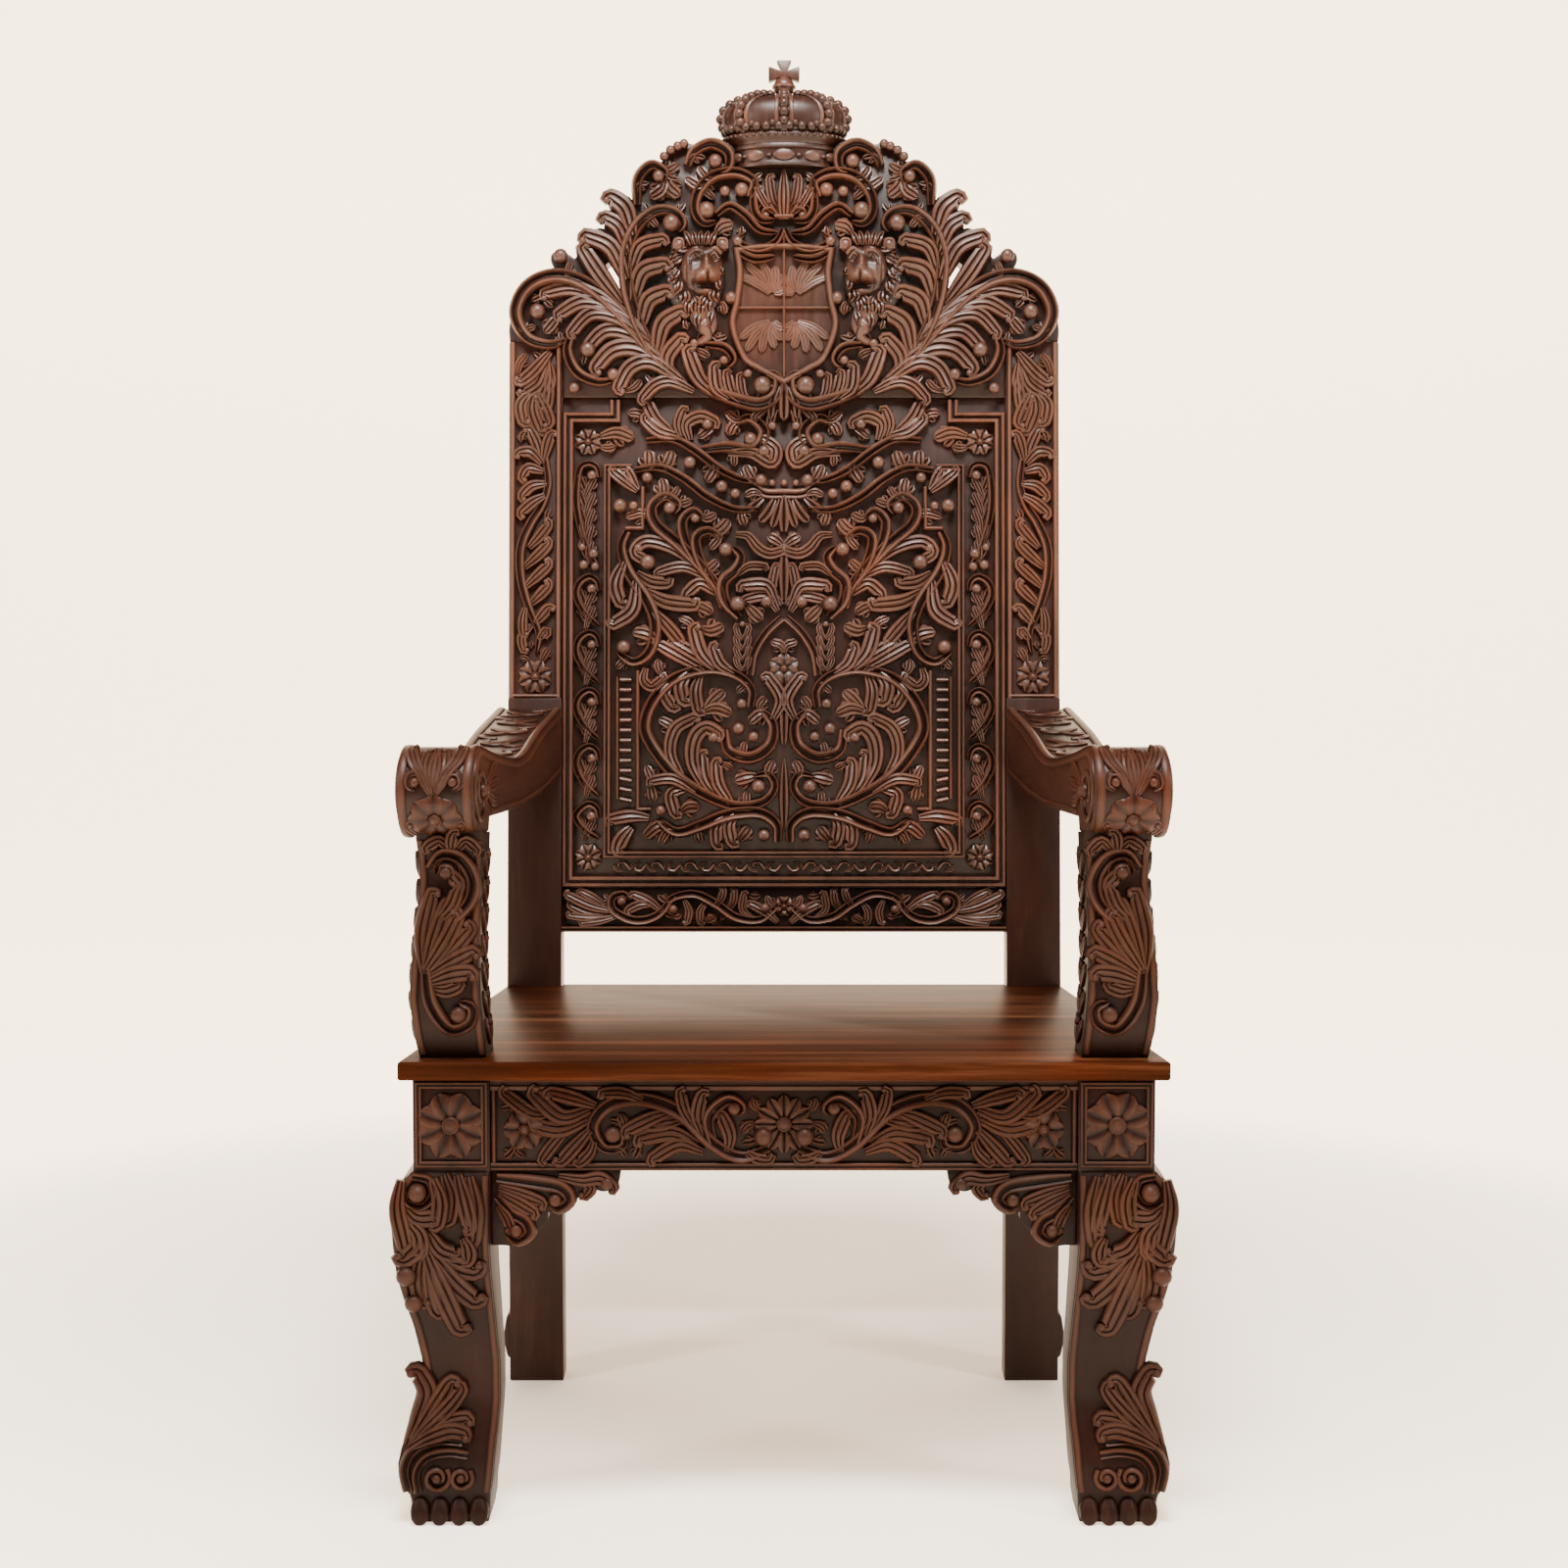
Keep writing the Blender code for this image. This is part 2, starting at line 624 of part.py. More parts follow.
def value_at(table, height, column):
    """Reads a row of a table between its heights, which fall."""
    for above, below in zip(table, table[1:]):
        if below[0] <= height <= above[0]:
            share = (height - below[0]) / (above[0] - below[0])
            return below[column] + share * (above[column] - below[column])
    return table[-1][column] if height < table[-1][0] else table[0][column]


def upright_frame(name, collection, y, lean=0.0, height=0.0):
    """An empty on whose XY plane boards and carving lie, with Z towards the viewer."""
    empty = add_object(name, None, collection)
    empty.location = (0, y, height)
    empty.rotation_euler = (math.pi / 2 - lean, 0, 0)
    return empty


def side_frame(name, collection):
    """An empty whose XY plane is the side view: X runs to the rear, Y up and Z across."""
    empty = add_object(name, None, collection)
    empty.rotation_euler = (math.pi / 2, 0, math.pi / 2)
    return empty


def make_post(side, parts, guides, back, profile_plane, section):
    """A rear leg that runs up as a raked, carved stile."""
    name = "post_" + ("right" if side > 0 else "left")
    rise = Vector((math.sin(BACK_RAKE), math.cos(BACK_RAKE)))
    rear = Vector((math.cos(BACK_RAKE), -math.sin(BACK_RAKE))) * POST_DEPTH
    hinge = Vector((HINGE_Y, SEAT_HEIGHT))
    bend = hinge + Vector((POST_DEPTH, -POST_DEPTH * math.tan(BACK_RAKE / 2)))
    top = hinge + rise * POST_LENGTH
    outline = [Vector((HINGE_Y, 0)), Vector((HINGE_Y + POST_DEPTH, 0)), bend, top + rear, top, hinge]
    inner, outer = sorted((side * POST_INNER, side * HALF_BACK))
    body = mesh_from(slab(name, outline, inner, outer), name)
    post = add_object(name, body, parts, profile_plane, "carved")

    field = bmesh.new()
    low = POST_FIELD_START
    high = POST_LENGTH + POST_FIELD_MARGIN
    width = POST_WIDTH - 2 * POST_FIELD_MARGIN
    middle = Vector((side * (HALF_BACK - POST_WIDTH / 2), (low + high) / 2, 0))
    box = Matrix.Diagonal((width, high - low, 2 * POST_FIELD_DEPTH, 1))
    bmesh.ops.create_cube(field, size=1.0, matrix=Matrix.Translation(middle) @ box)
    combine(post, "DIFFERENCE", mesh_from(field, "field"), guides, back)

    heights = stretch(DRAWN_POST_FIELD, DRAWN_POST_TOP, POST_FIELD_START, POST_LENGTH)
    carving = Carving(POST_SCALE, heights, -POST_FIELD_DEPTH, HALF_BACK - POST_WIDTH / 2, 0, (side,))
    carving.stems(POST_STEMS)
    carving.flowers((POST_ROSETTE,))
    combine(post, "UNION", carving.finish(section), guides, back)
    return post


def make_panel(parts, guides, back, section):
    """The carved board between the posts, with its stepped frames, borders and scrolling leaves."""
    outline = [(x, s) for x, s in (
        (-BETWEEN_POSTS, PANEL_START), (BETWEEN_POSTS, PANEL_START),
        (BETWEEN_POSTS, PANEL_TOP), (-BETWEEN_POSTS, PANEL_TOP))]
    board = slab("back_panel", outline, -PANEL_BACK, -PANEL_GROUND)
    panel = add_object("back_panel", mesh_from(board, "back_panel"), parts, back, "carved")
    heights = stretch(DRAWN_PANEL_START, DRAWN_PANEL_TOP, PANEL_START, PANEL_TOP)
    carving = Carving(PANEL_SCALE, heights, -PANEL_GROUND)
    for rib in PANEL_RIBS:
        carving.rib(*rib, PANEL_GROUND - 0.002)
    carving.stems(PANEL_STEMS)
    carving.balls(PANEL_BALLS)
    carving.flowers(PANEL_ROSETTES)
    carving.flowers(((0, 395, 20),), petals=6)
    for low, high, half in ((566, 612, 10), (480, 548, 8), (300, 366, 7), (200, 280, 7)):
        carving.centre_leaf(half, low, high)
    left, right, low, high = LADDER
    for i in range(LADDER_RUNGS):
        s = low + (high - low) * i / (LADDER_RUNGS - 1)
        carving.rib(left, s - 2, right, s + 2, PANEL_GROUND - 0.006)
    pitch = (BORDER_TOP - BORDER_BOTTOM) / BORDER_UNITS
    for i in range(BORDER_UNITS):
        top = BORDER_TOP - pitch * i
        lean = 1 if i % 2 else -1
        at = BORDER_MIDDLE
        carving.stems((
            (6, (at - lean * 6, top - 12), (at + lean * 11, top - 14), (at + lean * 8, top - 42),
             (at - lean * 12, top - 66)),
        ))
    combine(panel, "UNION", carving.finish(section), guides, back)
    return panel


def make_rail(parts, guides, back, section):
    """The carved rail under the panel."""
    top = PANEL_START - FIT_GAP
    outline = ((-BETWEEN_POSTS, RAIL_START), (BETWEEN_POSTS, RAIL_START),
               (BETWEEN_POSTS, top), (-BETWEEN_POSTS, top))
    board = slab("back_rail", outline, -RAIL_BACK, -RAIL_GROUND)
    rail = add_object("back_rail", mesh_from(board, "back_rail"), parts, back, "carved")
    carving = Carving(PANEL_SCALE, stretch(*DRAWN_RAIL, RAIL_START, top), -RAIL_GROUND)
    carving.rib(0, 66, 276, 73, RAIL_GROUND - 0.002)
    carving.stems(RAIL_STEMS)
    carving.balls(RAIL_BALLS)
    carving.centre_leaf(5, 77, 94)
    combine(rail, "UNION", carving.finish(section), guides, back)
    return rail


def crest_height(drawn):
    if drawn < DRAWN_POST_TOP:
        return stretch(DRAWN_PANEL_TOP, DRAWN_POST_TOP, PANEL_TOP + FIT_GAP, CREST_START)(drawn)
    return stretch(DRAWN_POST_TOP, DRAWN_CREST_TOP, CREST_START, CREST_HEIGHT)(drawn)


def make_lion(carving):
    """Two lions' heads and manes beside the shield."""
    x, s = LION_FACE
    for side in carving.sides:
        lumps = ((0, 0, 5, 25, 31, 18), (-4, -12, 17, 13, 14, 12), (0, 14, 15, 15, 8, 8))
        for dx, ds, rise, wide, tall, deep in lumps:
            at = carving.place((x + dx, s + ds), side, rise * BACK_SCALE)
            size = Matrix.Diagonal((wide * BACK_SCALE, tall * BACK_SCALE, deep * BACK_SCALE, 1))
            bmesh.ops.create_uvsphere(
                carving.shape, u_segments=8, v_segments=4, radius=1.0, matrix=Matrix.Translation(at) @ size)
    locks = 6
    for i in range(locks):
        angle = math.radians(120 - 160 * i / (locks - 1))
        heading = Vector((math.cos(angle), math.sin(angle)))
        root = Vector((x + 2, s - 2)) + Vector((22 * heading.x, 27 * heading.y))
        tip = Vector((x + 2, s - 6)) + Vector((38 * heading.x, 44 * heading.y))
        carving.stems(((9, tuple(root), tuple((root + tip) / 2 + Vector((2, 3))), tuple(tip)),))


def make_shield(carving):
    """The raised shield: its field, its rim and the cross that quarters it."""
    half = []
    for start, middle, end in SHIELD_ARCS:
        half += arc_through(start, middle, end, 2)[:-1]
    half.append(Vector(SHIELD_ARCS[-1][-1]))
    outline = [carving.place(p).xy for p in mirrored_outline(half)]
    middle = carving.place((0, 845)).xy
    inside = [middle + (p - middle) * SHIELD_RIM_SHARE for p in outline]
    top = carving.ground + SHIELD_RIM_RISE
    carving.add(slab("shield", outline, carving.ground - SINK, top, [inside]))
    field = [middle + (p - middle) * SHIELD_FIELD_SHARE for p in outline]
    carving.add(slab("field", field, carving.ground - SINK + FIT_GAP, carving.ground + SHIELD_FIELD_RISE))
    carving.rib(0, 760, 3, 916, 0.0105)
    carving.rib(0, 842, 54, 848, 0.0095)


def make_crest(parts, guides, back, section):
    """The carved and pierced top board, shouldered over the posts."""
    half = [Vector((0, PANEL_TOP + FIT_GAP)), Vector((BETWEEN_POSTS, PANEL_TOP + FIT_GAP)),
            Vector((BETWEEN_POSTS, CREST_START)), Vector((336 * BACK_SCALE, CREST_START))]
    for lobe in CREST_LOBES:
        drawn_arc = arc_through(*lobe, 5)
        half += [Vector((p.x * BACK_SCALE, crest_height(p.y))) for p in drawn_arc]
    notch = brim_radius() + FIT_GAP
    half += [Vector((notch, crest_height(DRAWN_NOTCH))), Vector((notch, CREST_HEIGHT))]
    half.append(Vector((0, CREST_HEIGHT)))
    holes = [[(side * x * BACK_SCALE, crest_height(s)) for x, s in CREST_HOLE] for side in (1, -1)]
    board = slab("crest", mirrored_outline(half), -CREST_BACK, -CREST_GROUND, holes)
    crest = add_object("crest", mesh_from(board, "crest"), parts, back, "carved")
    carving = Carving(BACK_SCALE, crest_height, -CREST_GROUND)
    carving.stems(CREST_STEMS)
    carving.balls(CREST_BALLS)
    carving.centre_leaf(8, 958, 1016)
    make_lion(carving)
    make_shield(carving)
    combine(crest, "UNION", carving.finish(section), guides, back)
    return crest


def turned(profile, steps):
    """A turned solid about Z from its outer profile, top to bottom."""
    curve = bpy.data.meshes.new("profile")
    curve.from_pydata([(r, 0, z) for r, z in profile], [(i, i + 1) for i in range(len(profile) - 1)], [])
    item = bpy.data.objects.new("profile", curve)
    bpy.context.scene.collection.objects.link(item)
    screw = item.modifiers.new("turning", "SCREW")
    screw.steps = steps
    screw.render_steps = steps
    screw.use_merge_vertices = True
    screw.merge_threshold = 0.00001
    shape = bmesh.new()
    shape.from_mesh(evaluated_mesh(item))
    bpy.data.objects.remove(item)
    weld(shape)
    return shape


def brim_radius():
    """The widest that the crown's band is, below its brim."""
    return max(r for r, z in CROWN_PROFILE if z < DRAWN_BRIM) * CROWN_SCALE


def make_crown(parts, guides, back):
    """The crown on the crest: band, coronet, bulged cap with beaded arches, orb and cross."""
    turning = Matrix.Rotation(-math.pi / 2, 4, "X")
    flatten = Matrix.Diagonal((1, 1, CROWN_FLATTENING, 1))
    lift = Matrix.Translation((0, CREST_HEIGHT + FIT_GAP, -CROWN_SETBACK))
    stand = lift @ flatten @ turning @ Matrix.Scale(CROWN_SCALE, 4)
    half_base = CROWN_BASE_WIDTH / 2 / CROWN_SCALE
    profile = [(min(r, half_base) if z == 0 else r, z) for r, z in CROWN_PROFILE]
    cap = turned(profile, 2 * CROWN_ARCHES)
    column = math.pi / CROWN_ARCHES
    for vert in cap.verts:
        on_arch = round(math.atan2(vert.co.y, vert.co.x) / column) % 2 == 0
        if on_arch and ARCH_HEIGHTS[0] < vert.co.z < ARCH_HEIGHTS[1]:
            vert.co.xy *= ARCH_SWELL
    cap.transform(stand)
    crown = add_object("crown", mesh_from(cap, "crown"), parts, back, "carved")

    trim = bmesh.new()
    for i in range(CROWN_ARCHES):
        turn = Matrix.Rotation(math.tau * i / CROWN_ARCHES, 4, "Z")
        beads = SIDE_ARCH_BEADS if i % (CROWN_ARCHES // 2) == 0 else ()
        for r, z, radius in (CORONET_KNOB, *beads):
            bead = Matrix.Translation(turn @ Vector((r, 0, z)))
            bmesh.ops.create_icosphere(trim, subdivisions=1, radius=radius, matrix=bead)
    bmesh.ops.create_uvsphere(
        trim, u_segments=8, v_segments=5, radius=ORB_RADIUS / CROWN_SCALE,
        matrix=Matrix.Translation((0, 0, CROWN_PROFILE[0][1] + 10)))
    trim.transform(stand)
    flare = CROWN_CROSS_HALF * 0.38
    waist = CROWN_CROSS_HALF * 0.18
    upright = CROWN_CROSS_HALF * 0.87
    centre = Vector((0, CREST_HEIGHT + FIT_GAP + CROWN_HEIGHT - upright))
    cross = []
    for i in range(4):
        turn = Matrix.Rotation(i * math.pi / 2, 2)
        reach = CROWN_CROSS_HALF if i % 2 == 0 else upright
        for corner in ((waist, -waist), (reach, -flare), (reach, flare)):
            cross.append(centre + turn @ Vector(corner))
    thick = CROWN_CROSS_THICKNESS / 2
    trim.from_mesh(mesh_from(slab("cross", cross, -CROWN_SETBACK - thick, -CROWN_SETBACK + thick), "cross"))
    combine(crown, "UNION", mesh_from(trim, "trim"), guides, back)
    return crown


def side_x(y):
    """Half width of the seat at a depth."""
    return SEAT_FRONT_WIDTH / 2 - SIDE_SLOPE * (y - SEAT_FRONT_Y)


def make_seat(parts):
    """The plank seat, wider in front."""
    rear = HINGE_Y - FIT_GAP
    outline = [(-side_x(SEAT_FRONT_Y), SEAT_FRONT_Y), (side_x(SEAT_FRONT_Y), SEAT_FRONT_Y),
               (side_x(rear), rear), (-side_x(rear), rear)]
    seat = add_object("seat", mesh_from(slab("seat", outline, SEAT_UNDERSIDE, SEAT_HEIGHT), "seat"), parts,
                      tone="seat")
    bevel = seat.modifiers.new("soft edges", "BEVEL")
    bevel.width = SEAT_EDGE_ROUND
    bevel.segments = 1
    return seat


def make_plain_aprons(parts):
    """The side and rear boards under the seat, left plain."""
    for side, name in ((1, "apron_right"), (-1, "apron_left")):
        front, rear = BLOCK_REAR_Y + FIT_GAP, HINGE_Y - FIT_GAP
        inset = BLOCK_INSET + APRON_SETBACK
        outline = []
        for y, depth in ((front, inset), (rear, inset), (rear, inset + APRON_THICKNESS),
                         (front, inset + APRON_THICKNESS)):
            outline.append((side * (side_x(y) - depth), y))
        board = slab(name, outline, APRON_BOTTOM, LEG_LENGTH)
        add_object(name, mesh_from(board, name), parts, tone="plain")
    front, rear = HINGE_Y + APRON_SETBACK, HINGE_Y + APRON_SETBACK + APRON_THICKNESS
    outline = [(-BETWEEN_POSTS, front), (BETWEEN_POSTS, front), (BETWEEN_POSTS, rear), (-BETWEEN_POSTS, rear)]
    board = slab("apron_rear", outline, APRON_BOTTOM, LEG_LENGTH)
    add_object("apron_rear", mesh_from(board, "apron_rear"), parts, tone="plain")


def make_front_apron(parts, guides, front_frame, section):
    """The carved board between the two leg blocks."""
    half = BLOCK_INNER - FIT_GAP
    outline = [(-half, APRON_BOTTOM), (half, APRON_BOTTOM), (half, LEG_LENGTH), (-half, LEG_LENGTH)]
    board = slab("apron_front", outline, -APRON_THICKNESS, -APRON_GROUND)
    apron = add_object("apron_front", mesh_from(board, "apron_front"), parts, front_frame, "carved")
    carving = Carving(half / DRAWN_BLOCK[0], stretch(*DRAWN_APRON, APRON_BOTTOM, LEG_LENGTH), -APRON_GROUND)
    carving.rib(0, 380, DRAWN_BLOCK[0], 388, APRON_GROUND - APRON_SETBACK)
    carving.rib(0, 466, DRAWN_BLOCK[0], 480, APRON_GROUND - APRON_SETBACK)
    carving.stems(APRON_STEMS)
    carving.balls(APRON_BALLS)
    carving.flowers(APRON_FLOWERS)
    combine(apron, "UNION", carving.finish(section), guides, front_frame)
    return apron


def make_front_leg(side, parts, guides, front_frame, section):
    """A cabriole leg: rosette block, leafy knee, slim ankle and paw with four toes."""
    name = "front_leg_" + ("right" if side > 0 else "left")
    heights = stretch(0, DRAWN_APRON[1], 0, LEG_LENGTH)
    rings = []
    for (z, outer, inner), (_, front, rear) in zip(LEG_OUTLINE, LEG_DEPTHS):
        x_out = BLOCK_INNER + (outer - DRAWN_BLOCK[0]) * BLOCK_SCALE
        x_in = BLOCK_INNER + (inner - DRAWN_BLOCK[0]) * BLOCK_SCALE
        cut = 0.0015 if z > 375 else 0.010
        left, right = sorted((side * x_out, side * x_in))
        front_y = BLOCK_FRONT_Y + front * BLOCK_DEPTH_SCALE
        rear_y = BLOCK_FRONT_Y + rear * BLOCK_DEPTH_SCALE
        rings.append(chamfered_ring(left, right, front_y, rear_y, heights(z), cut))
    sole = [Vector(p) for p in rings[-1]]
    rings.append([(p.x, p.y, 0.0) for p in sole])
    leg = add_object(name, loft(rings, name), parts, tone="carved")
    carving = Carving(BLOCK_SCALE, heights, 0.0, BLOCK_INNER, DRAWN_BLOCK[0], (side,))

    def proud(point):
        return -value_at(LEG_DEPTHS, point[1], 1) * BLOCK_DEPTH_SCALE

    carving.stems(LEG_STEMS, proud)
    carving.balls(((386, 360, 12), (398, 268, 12)), proud)
    carving.flowers((BLOCK_FLOWER,))
    carving.rib(318, 386, 323, 474, 0.003)
    carving.rib(384, 386, 389, 474, 0.003)
    carving.rib(318, 382, 389, 387, 0.003)
    carving.rib(318, 469, 389, 474, 0.003)
    upright = Matrix.Rotation(-math.pi / 2, 4, "X")
    toe = (BLOCK_WIDTH + 2 * TOE_OVERHANG) / TOE_COUNT
    for i in range(TOE_COUNT):
        x = side * (BLOCK_INNER + TOE_OVERHANG + toe * (i + 0.5))
        bmesh.ops.create_cone(
            carving.shape, cap_ends=True, segments=8, radius1=toe * 0.62, radius2=toe * 0.5, depth=TOE_HEIGHT,
            matrix=Matrix.Translation((x, TOE_HEIGHT / 2 + 2 * FIT_GAP, TOE_REACH)) @ upright)
    combine(leg, "UNION", carving.finish(section), guides, front_frame)
    return leg


def make_bracket(side, parts, guides, front_frame, section):
    """A scrolled corner bracket under the apron, against the leg."""
    name = "bracket_" + ("right" if side > 0 else "left")
    across = BRACKET_LENGTH / (DRAWN_BLOCK[0] - DRAWN_BRACKET[0])
    reach = BLOCK_INNER - FIT_GAP
    top = APRON_BOTTOM - FIT_GAP
    heights = stretch(DRAWN_BRACKET[1], DRAWN_APRON[0], top - BRACKET_HEIGHT, top)
    drawn_edge = [(DRAWN_BLOCK[0], DRAWN_APRON[0]), (DRAWN_BRACKET[0], DRAWN_APRON[0]), (176, 366)]
    for lobe in BRACKET_LOBES:
        drawn_edge += arc_through(*lobe, 3)
    drawn_edge.append((DRAWN_BLOCK[0], BRACKET_LOBES[-1][-1][1]))
    outline = [(side * (reach - (DRAWN_BLOCK[0] - x) * across), heights(z)) for x, z in drawn_edge]
    face = -APRON_SETBACK - BRACKET_GROUND
    board = slab(name, outline, -BRACKET_THICKNESS - APRON_SETBACK, face)
    bracket = add_object(name, mesh_from(board, name), parts, front_frame, "carved")
    carving = Carving(across, heights, face, reach, DRAWN_BLOCK[0], (side,))
    carving.stems(BRACKET_STEMS)
    carving.balls(BRACKET_BALLS)
    combine(bracket, "UNION", carving.finish(section), guides, front_frame)
    return bracket


def arm_outline():
    """Side view of an arm: distance to the rear and height above the floor."""
    radius = ARM_SCROLL_DIAMETER / 2
    centre = Vector((SEAT_FRONT_Y + radius + 0.0075, SEAT_HEIGHT + ARM_SCROLL_TOP - radius))
    span = HINGE_Y - centre.x
    end = [HINGE_Y + h * math.tan(BACK_RAKE) - FIT_GAP * 1.5 for h in (ARM_POST_TOP, ARM_POST_BOTTOM)]
    top = [(end[0], SEAT_HEIGHT + ARM_POST_TOP), (centre.x + span * 0.78, SEAT_HEIGHT + ARM_DIP + 0.022),
           (centre.x + span * 0.52, SEAT_HEIGHT + ARM_DIP),
           (centre.x + span * 0.26, SEAT_HEIGHT + ARM_DIP + 0.010),
           (centre.x, centre.y + radius)]
    path = smooth_path(top, 2)[:-1]
    for i in range(13):
        angle = math.pi / 2 + math.pi * i / 12
        path.append(centre + radius * Vector((math.cos(angle), math.sin(angle))))
    waist = SEAT_HEIGHT + ARM_DIP - ARM_WAIST
    path += [Vector((centre.x + radius * 1.05, centre.y - radius)),
             Vector((centre.x + radius * 1.15, waist + 0.006)),
             Vector((centre.x + span * 0.5, waist)), Vector((centre.x + span * 0.78, waist + 0.005)),
             Vector((end[1], SEAT_HEIGHT + ARM_POST_BOTTOM))]
    return path, centre, radius


def arm_shear(side, y):
    """How far inwards an arm has moved at a depth, beside the narrowing seat."""
    outer_front = SEAT_FRONT_WIDTH / 2
    outer_rear = HALF_BACK + ARM_SET_OUT
    return -side * (outer_front - outer_rear) * (y - SEAT_FRONT_Y) / SEAT_DEPTH


def make_arm(side, parts, guides):
    """A scroll arm with leaves down its front, sheared to follow the side of the seat."""
    name = "armrest_" + ("right" if side > 0 else "left")
    path, centre, radius = arm_outline()
    outer = side * SEAT_FRONT_WIDTH / 2
    left, right = sorted((outer, outer - side * ARM_WIDTH))
    shape = slab(name, path, left, right)
    upright = Matrix(((0, 0, 1, 0), (1, 0, 0, 0), (0, 1, 0, 0), (0, 0, 0, 1)))
    shape.transform(upright)
    leaves = bmesh.new()
    leaf_width = ARM_WIDTH * 0.16
    for share in ARM_SCROLL_LEAVES:
        x = (left + right) / 2 + share * ARM_WIDTH / 2 * 0.9
        for turn in (0.22, 0.66):
            angle = math.pi / 2 + math.pi * turn
            at = centre + (radius + 0.0005) * Vector((math.cos(angle), math.sin(angle)))
            bmesh.ops.create_uvsphere(
                leaves, u_segments=5, v_segments=3, radius=1.0,
                matrix=Matrix.Translation((x, at.x, at.y)) @ Matrix.Rotation(angle, 4, "X")
                @ Matrix.Diagonal((leaf_width / 2, 0.004, radius * 0.42, 1)))
    for vert in (*shape.verts, *leaves.verts):
        vert.co.x += arm_shear(side, vert.co.y)
    arm = add_object(name, mesh_from(shape, name), parts, tone="carved")
    combine(arm, "UNION", mesh_from(leaves, "leaves"), guides, None)
    return arm


def make_support(side, parts, guides, front_frame, section):
    """The S-shaped, carved upright between seat and arm."""
    name = "arm_support_" + ("right" if side > 0 else "left")
    height = ARM_SCROLL_TOP - ARM_SCROLL_DIAMETER - 2 * FIT_GAP
    rise = height / DRAWN_SUPPORT_HEIGHT
    bottom = SEAT_HEIGHT + FIT_GAP
    outer = SEAT_FRONT_WIDTH / 2 - SUPPORT_INSET
    front = SEAT_FRONT_Y + SUPPORT_SETBACK
    rings = []
    for h, out, inner, near, far in SUPPORT_RINGS:
        x_out = outer + (out - DRAWN_SUPPORT_OUTER) * SUPPORT_SCALE
        x_in = outer + (inner - DRAWN_SUPPORT_OUTER) * SUPPORT_SCALE
        left, right = sorted((side * x_out, side * x_in))
        y_near, y_far = front + near * SUPPORT_DEPTH_SCALE, front + far * SUPPORT_DEPTH_SCALE
        rings.append(chamfered_ring(left, right, y_near, y_far, bottom + h * rise, 0.003))
    support = add_object(name, loft(rings, name), parts, tone="carved")

    def proud(point):
        table = [(h + DRAWN_SEAT_HEIGHT, near) for h, _, _, near, _ in SUPPORT_RINGS]
        near = value_at(table, point[1], 1) * SUPPORT_DEPTH_SCALE
        return -(SUPPORT_SETBACK - BLOCK_SETBACK) - near

    heights = stretch(DRAWN_SEAT_HEIGHT, DRAWN_SEAT_HEIGHT + DRAWN_SUPPORT_HEIGHT, bottom, bottom + height)
    carving = Carving(SUPPORT_SCALE, heights, 0.0, outer, DRAWN_SUPPORT_OUTER, (side,))
    carving.stems(SUPPORT_STEMS, proud)
    carving.balls(SUPPORT_BALLS, proud)
    combine(support, "UNION", carving.finish(section), guides, front_frame)
    return support


def build():
    clear_scene()
    parts = new_collection("throne")
    guides = new_collection("guides")
    back = upright_frame("back_frame", parts, HINGE_Y, BACK_RAKE, SEAT_HEIGHT)
    front_frame = upright_frame("front_frame", parts, BLOCK_FRONT_Y)
    side_view = side_frame("side_frame", parts)
    section = hide_guide(add_object("stem_section", roof_profile(), guides))
    for side in (1, -1):
        make_post(side, parts, guides, back, side_view, section)
        make_front_leg(side, parts, guides, front_frame, section)
        make_bracket(side, parts, guides, front_frame, section)
        make_arm(side, parts, guides)
        make_support(side, parts, guides, front_frame, section)
    make_crest(parts, guides, back, section)
    make_crown(parts, guides, back)
    make_panel(parts, guides, back, section)
    make_rail(parts, guides, back, section)
    make_seat(parts)
    make_plain_aprons(parts)
    make_front_apron(parts, guides, front_frame, section)


build()
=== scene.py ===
"""Looks of the carved throne: its boards with their full carving, the wood, the room and the light.

Carving is drawn in millimetres on the face that it lies on: across, along and up from the wood. Tables of
stems and leaves give half a width and then the points of a path; tables of balls give a place and a radius.
"""

import math

import bmesh
import bpy
import numpy as np
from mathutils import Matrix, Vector


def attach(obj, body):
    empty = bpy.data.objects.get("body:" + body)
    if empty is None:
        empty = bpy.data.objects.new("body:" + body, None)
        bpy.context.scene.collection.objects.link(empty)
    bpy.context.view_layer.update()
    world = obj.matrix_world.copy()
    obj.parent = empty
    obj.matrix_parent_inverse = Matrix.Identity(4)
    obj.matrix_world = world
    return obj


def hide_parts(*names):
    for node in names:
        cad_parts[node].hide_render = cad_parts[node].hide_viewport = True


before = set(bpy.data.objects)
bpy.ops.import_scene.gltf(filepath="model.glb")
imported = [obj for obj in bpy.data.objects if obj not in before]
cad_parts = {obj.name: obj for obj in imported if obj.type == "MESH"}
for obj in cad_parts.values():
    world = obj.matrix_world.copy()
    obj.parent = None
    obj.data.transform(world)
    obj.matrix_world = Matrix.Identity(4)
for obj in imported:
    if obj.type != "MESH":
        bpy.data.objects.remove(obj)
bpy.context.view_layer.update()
bpy.ops.object.select_all(action="DESELECT")

MM = 0.001

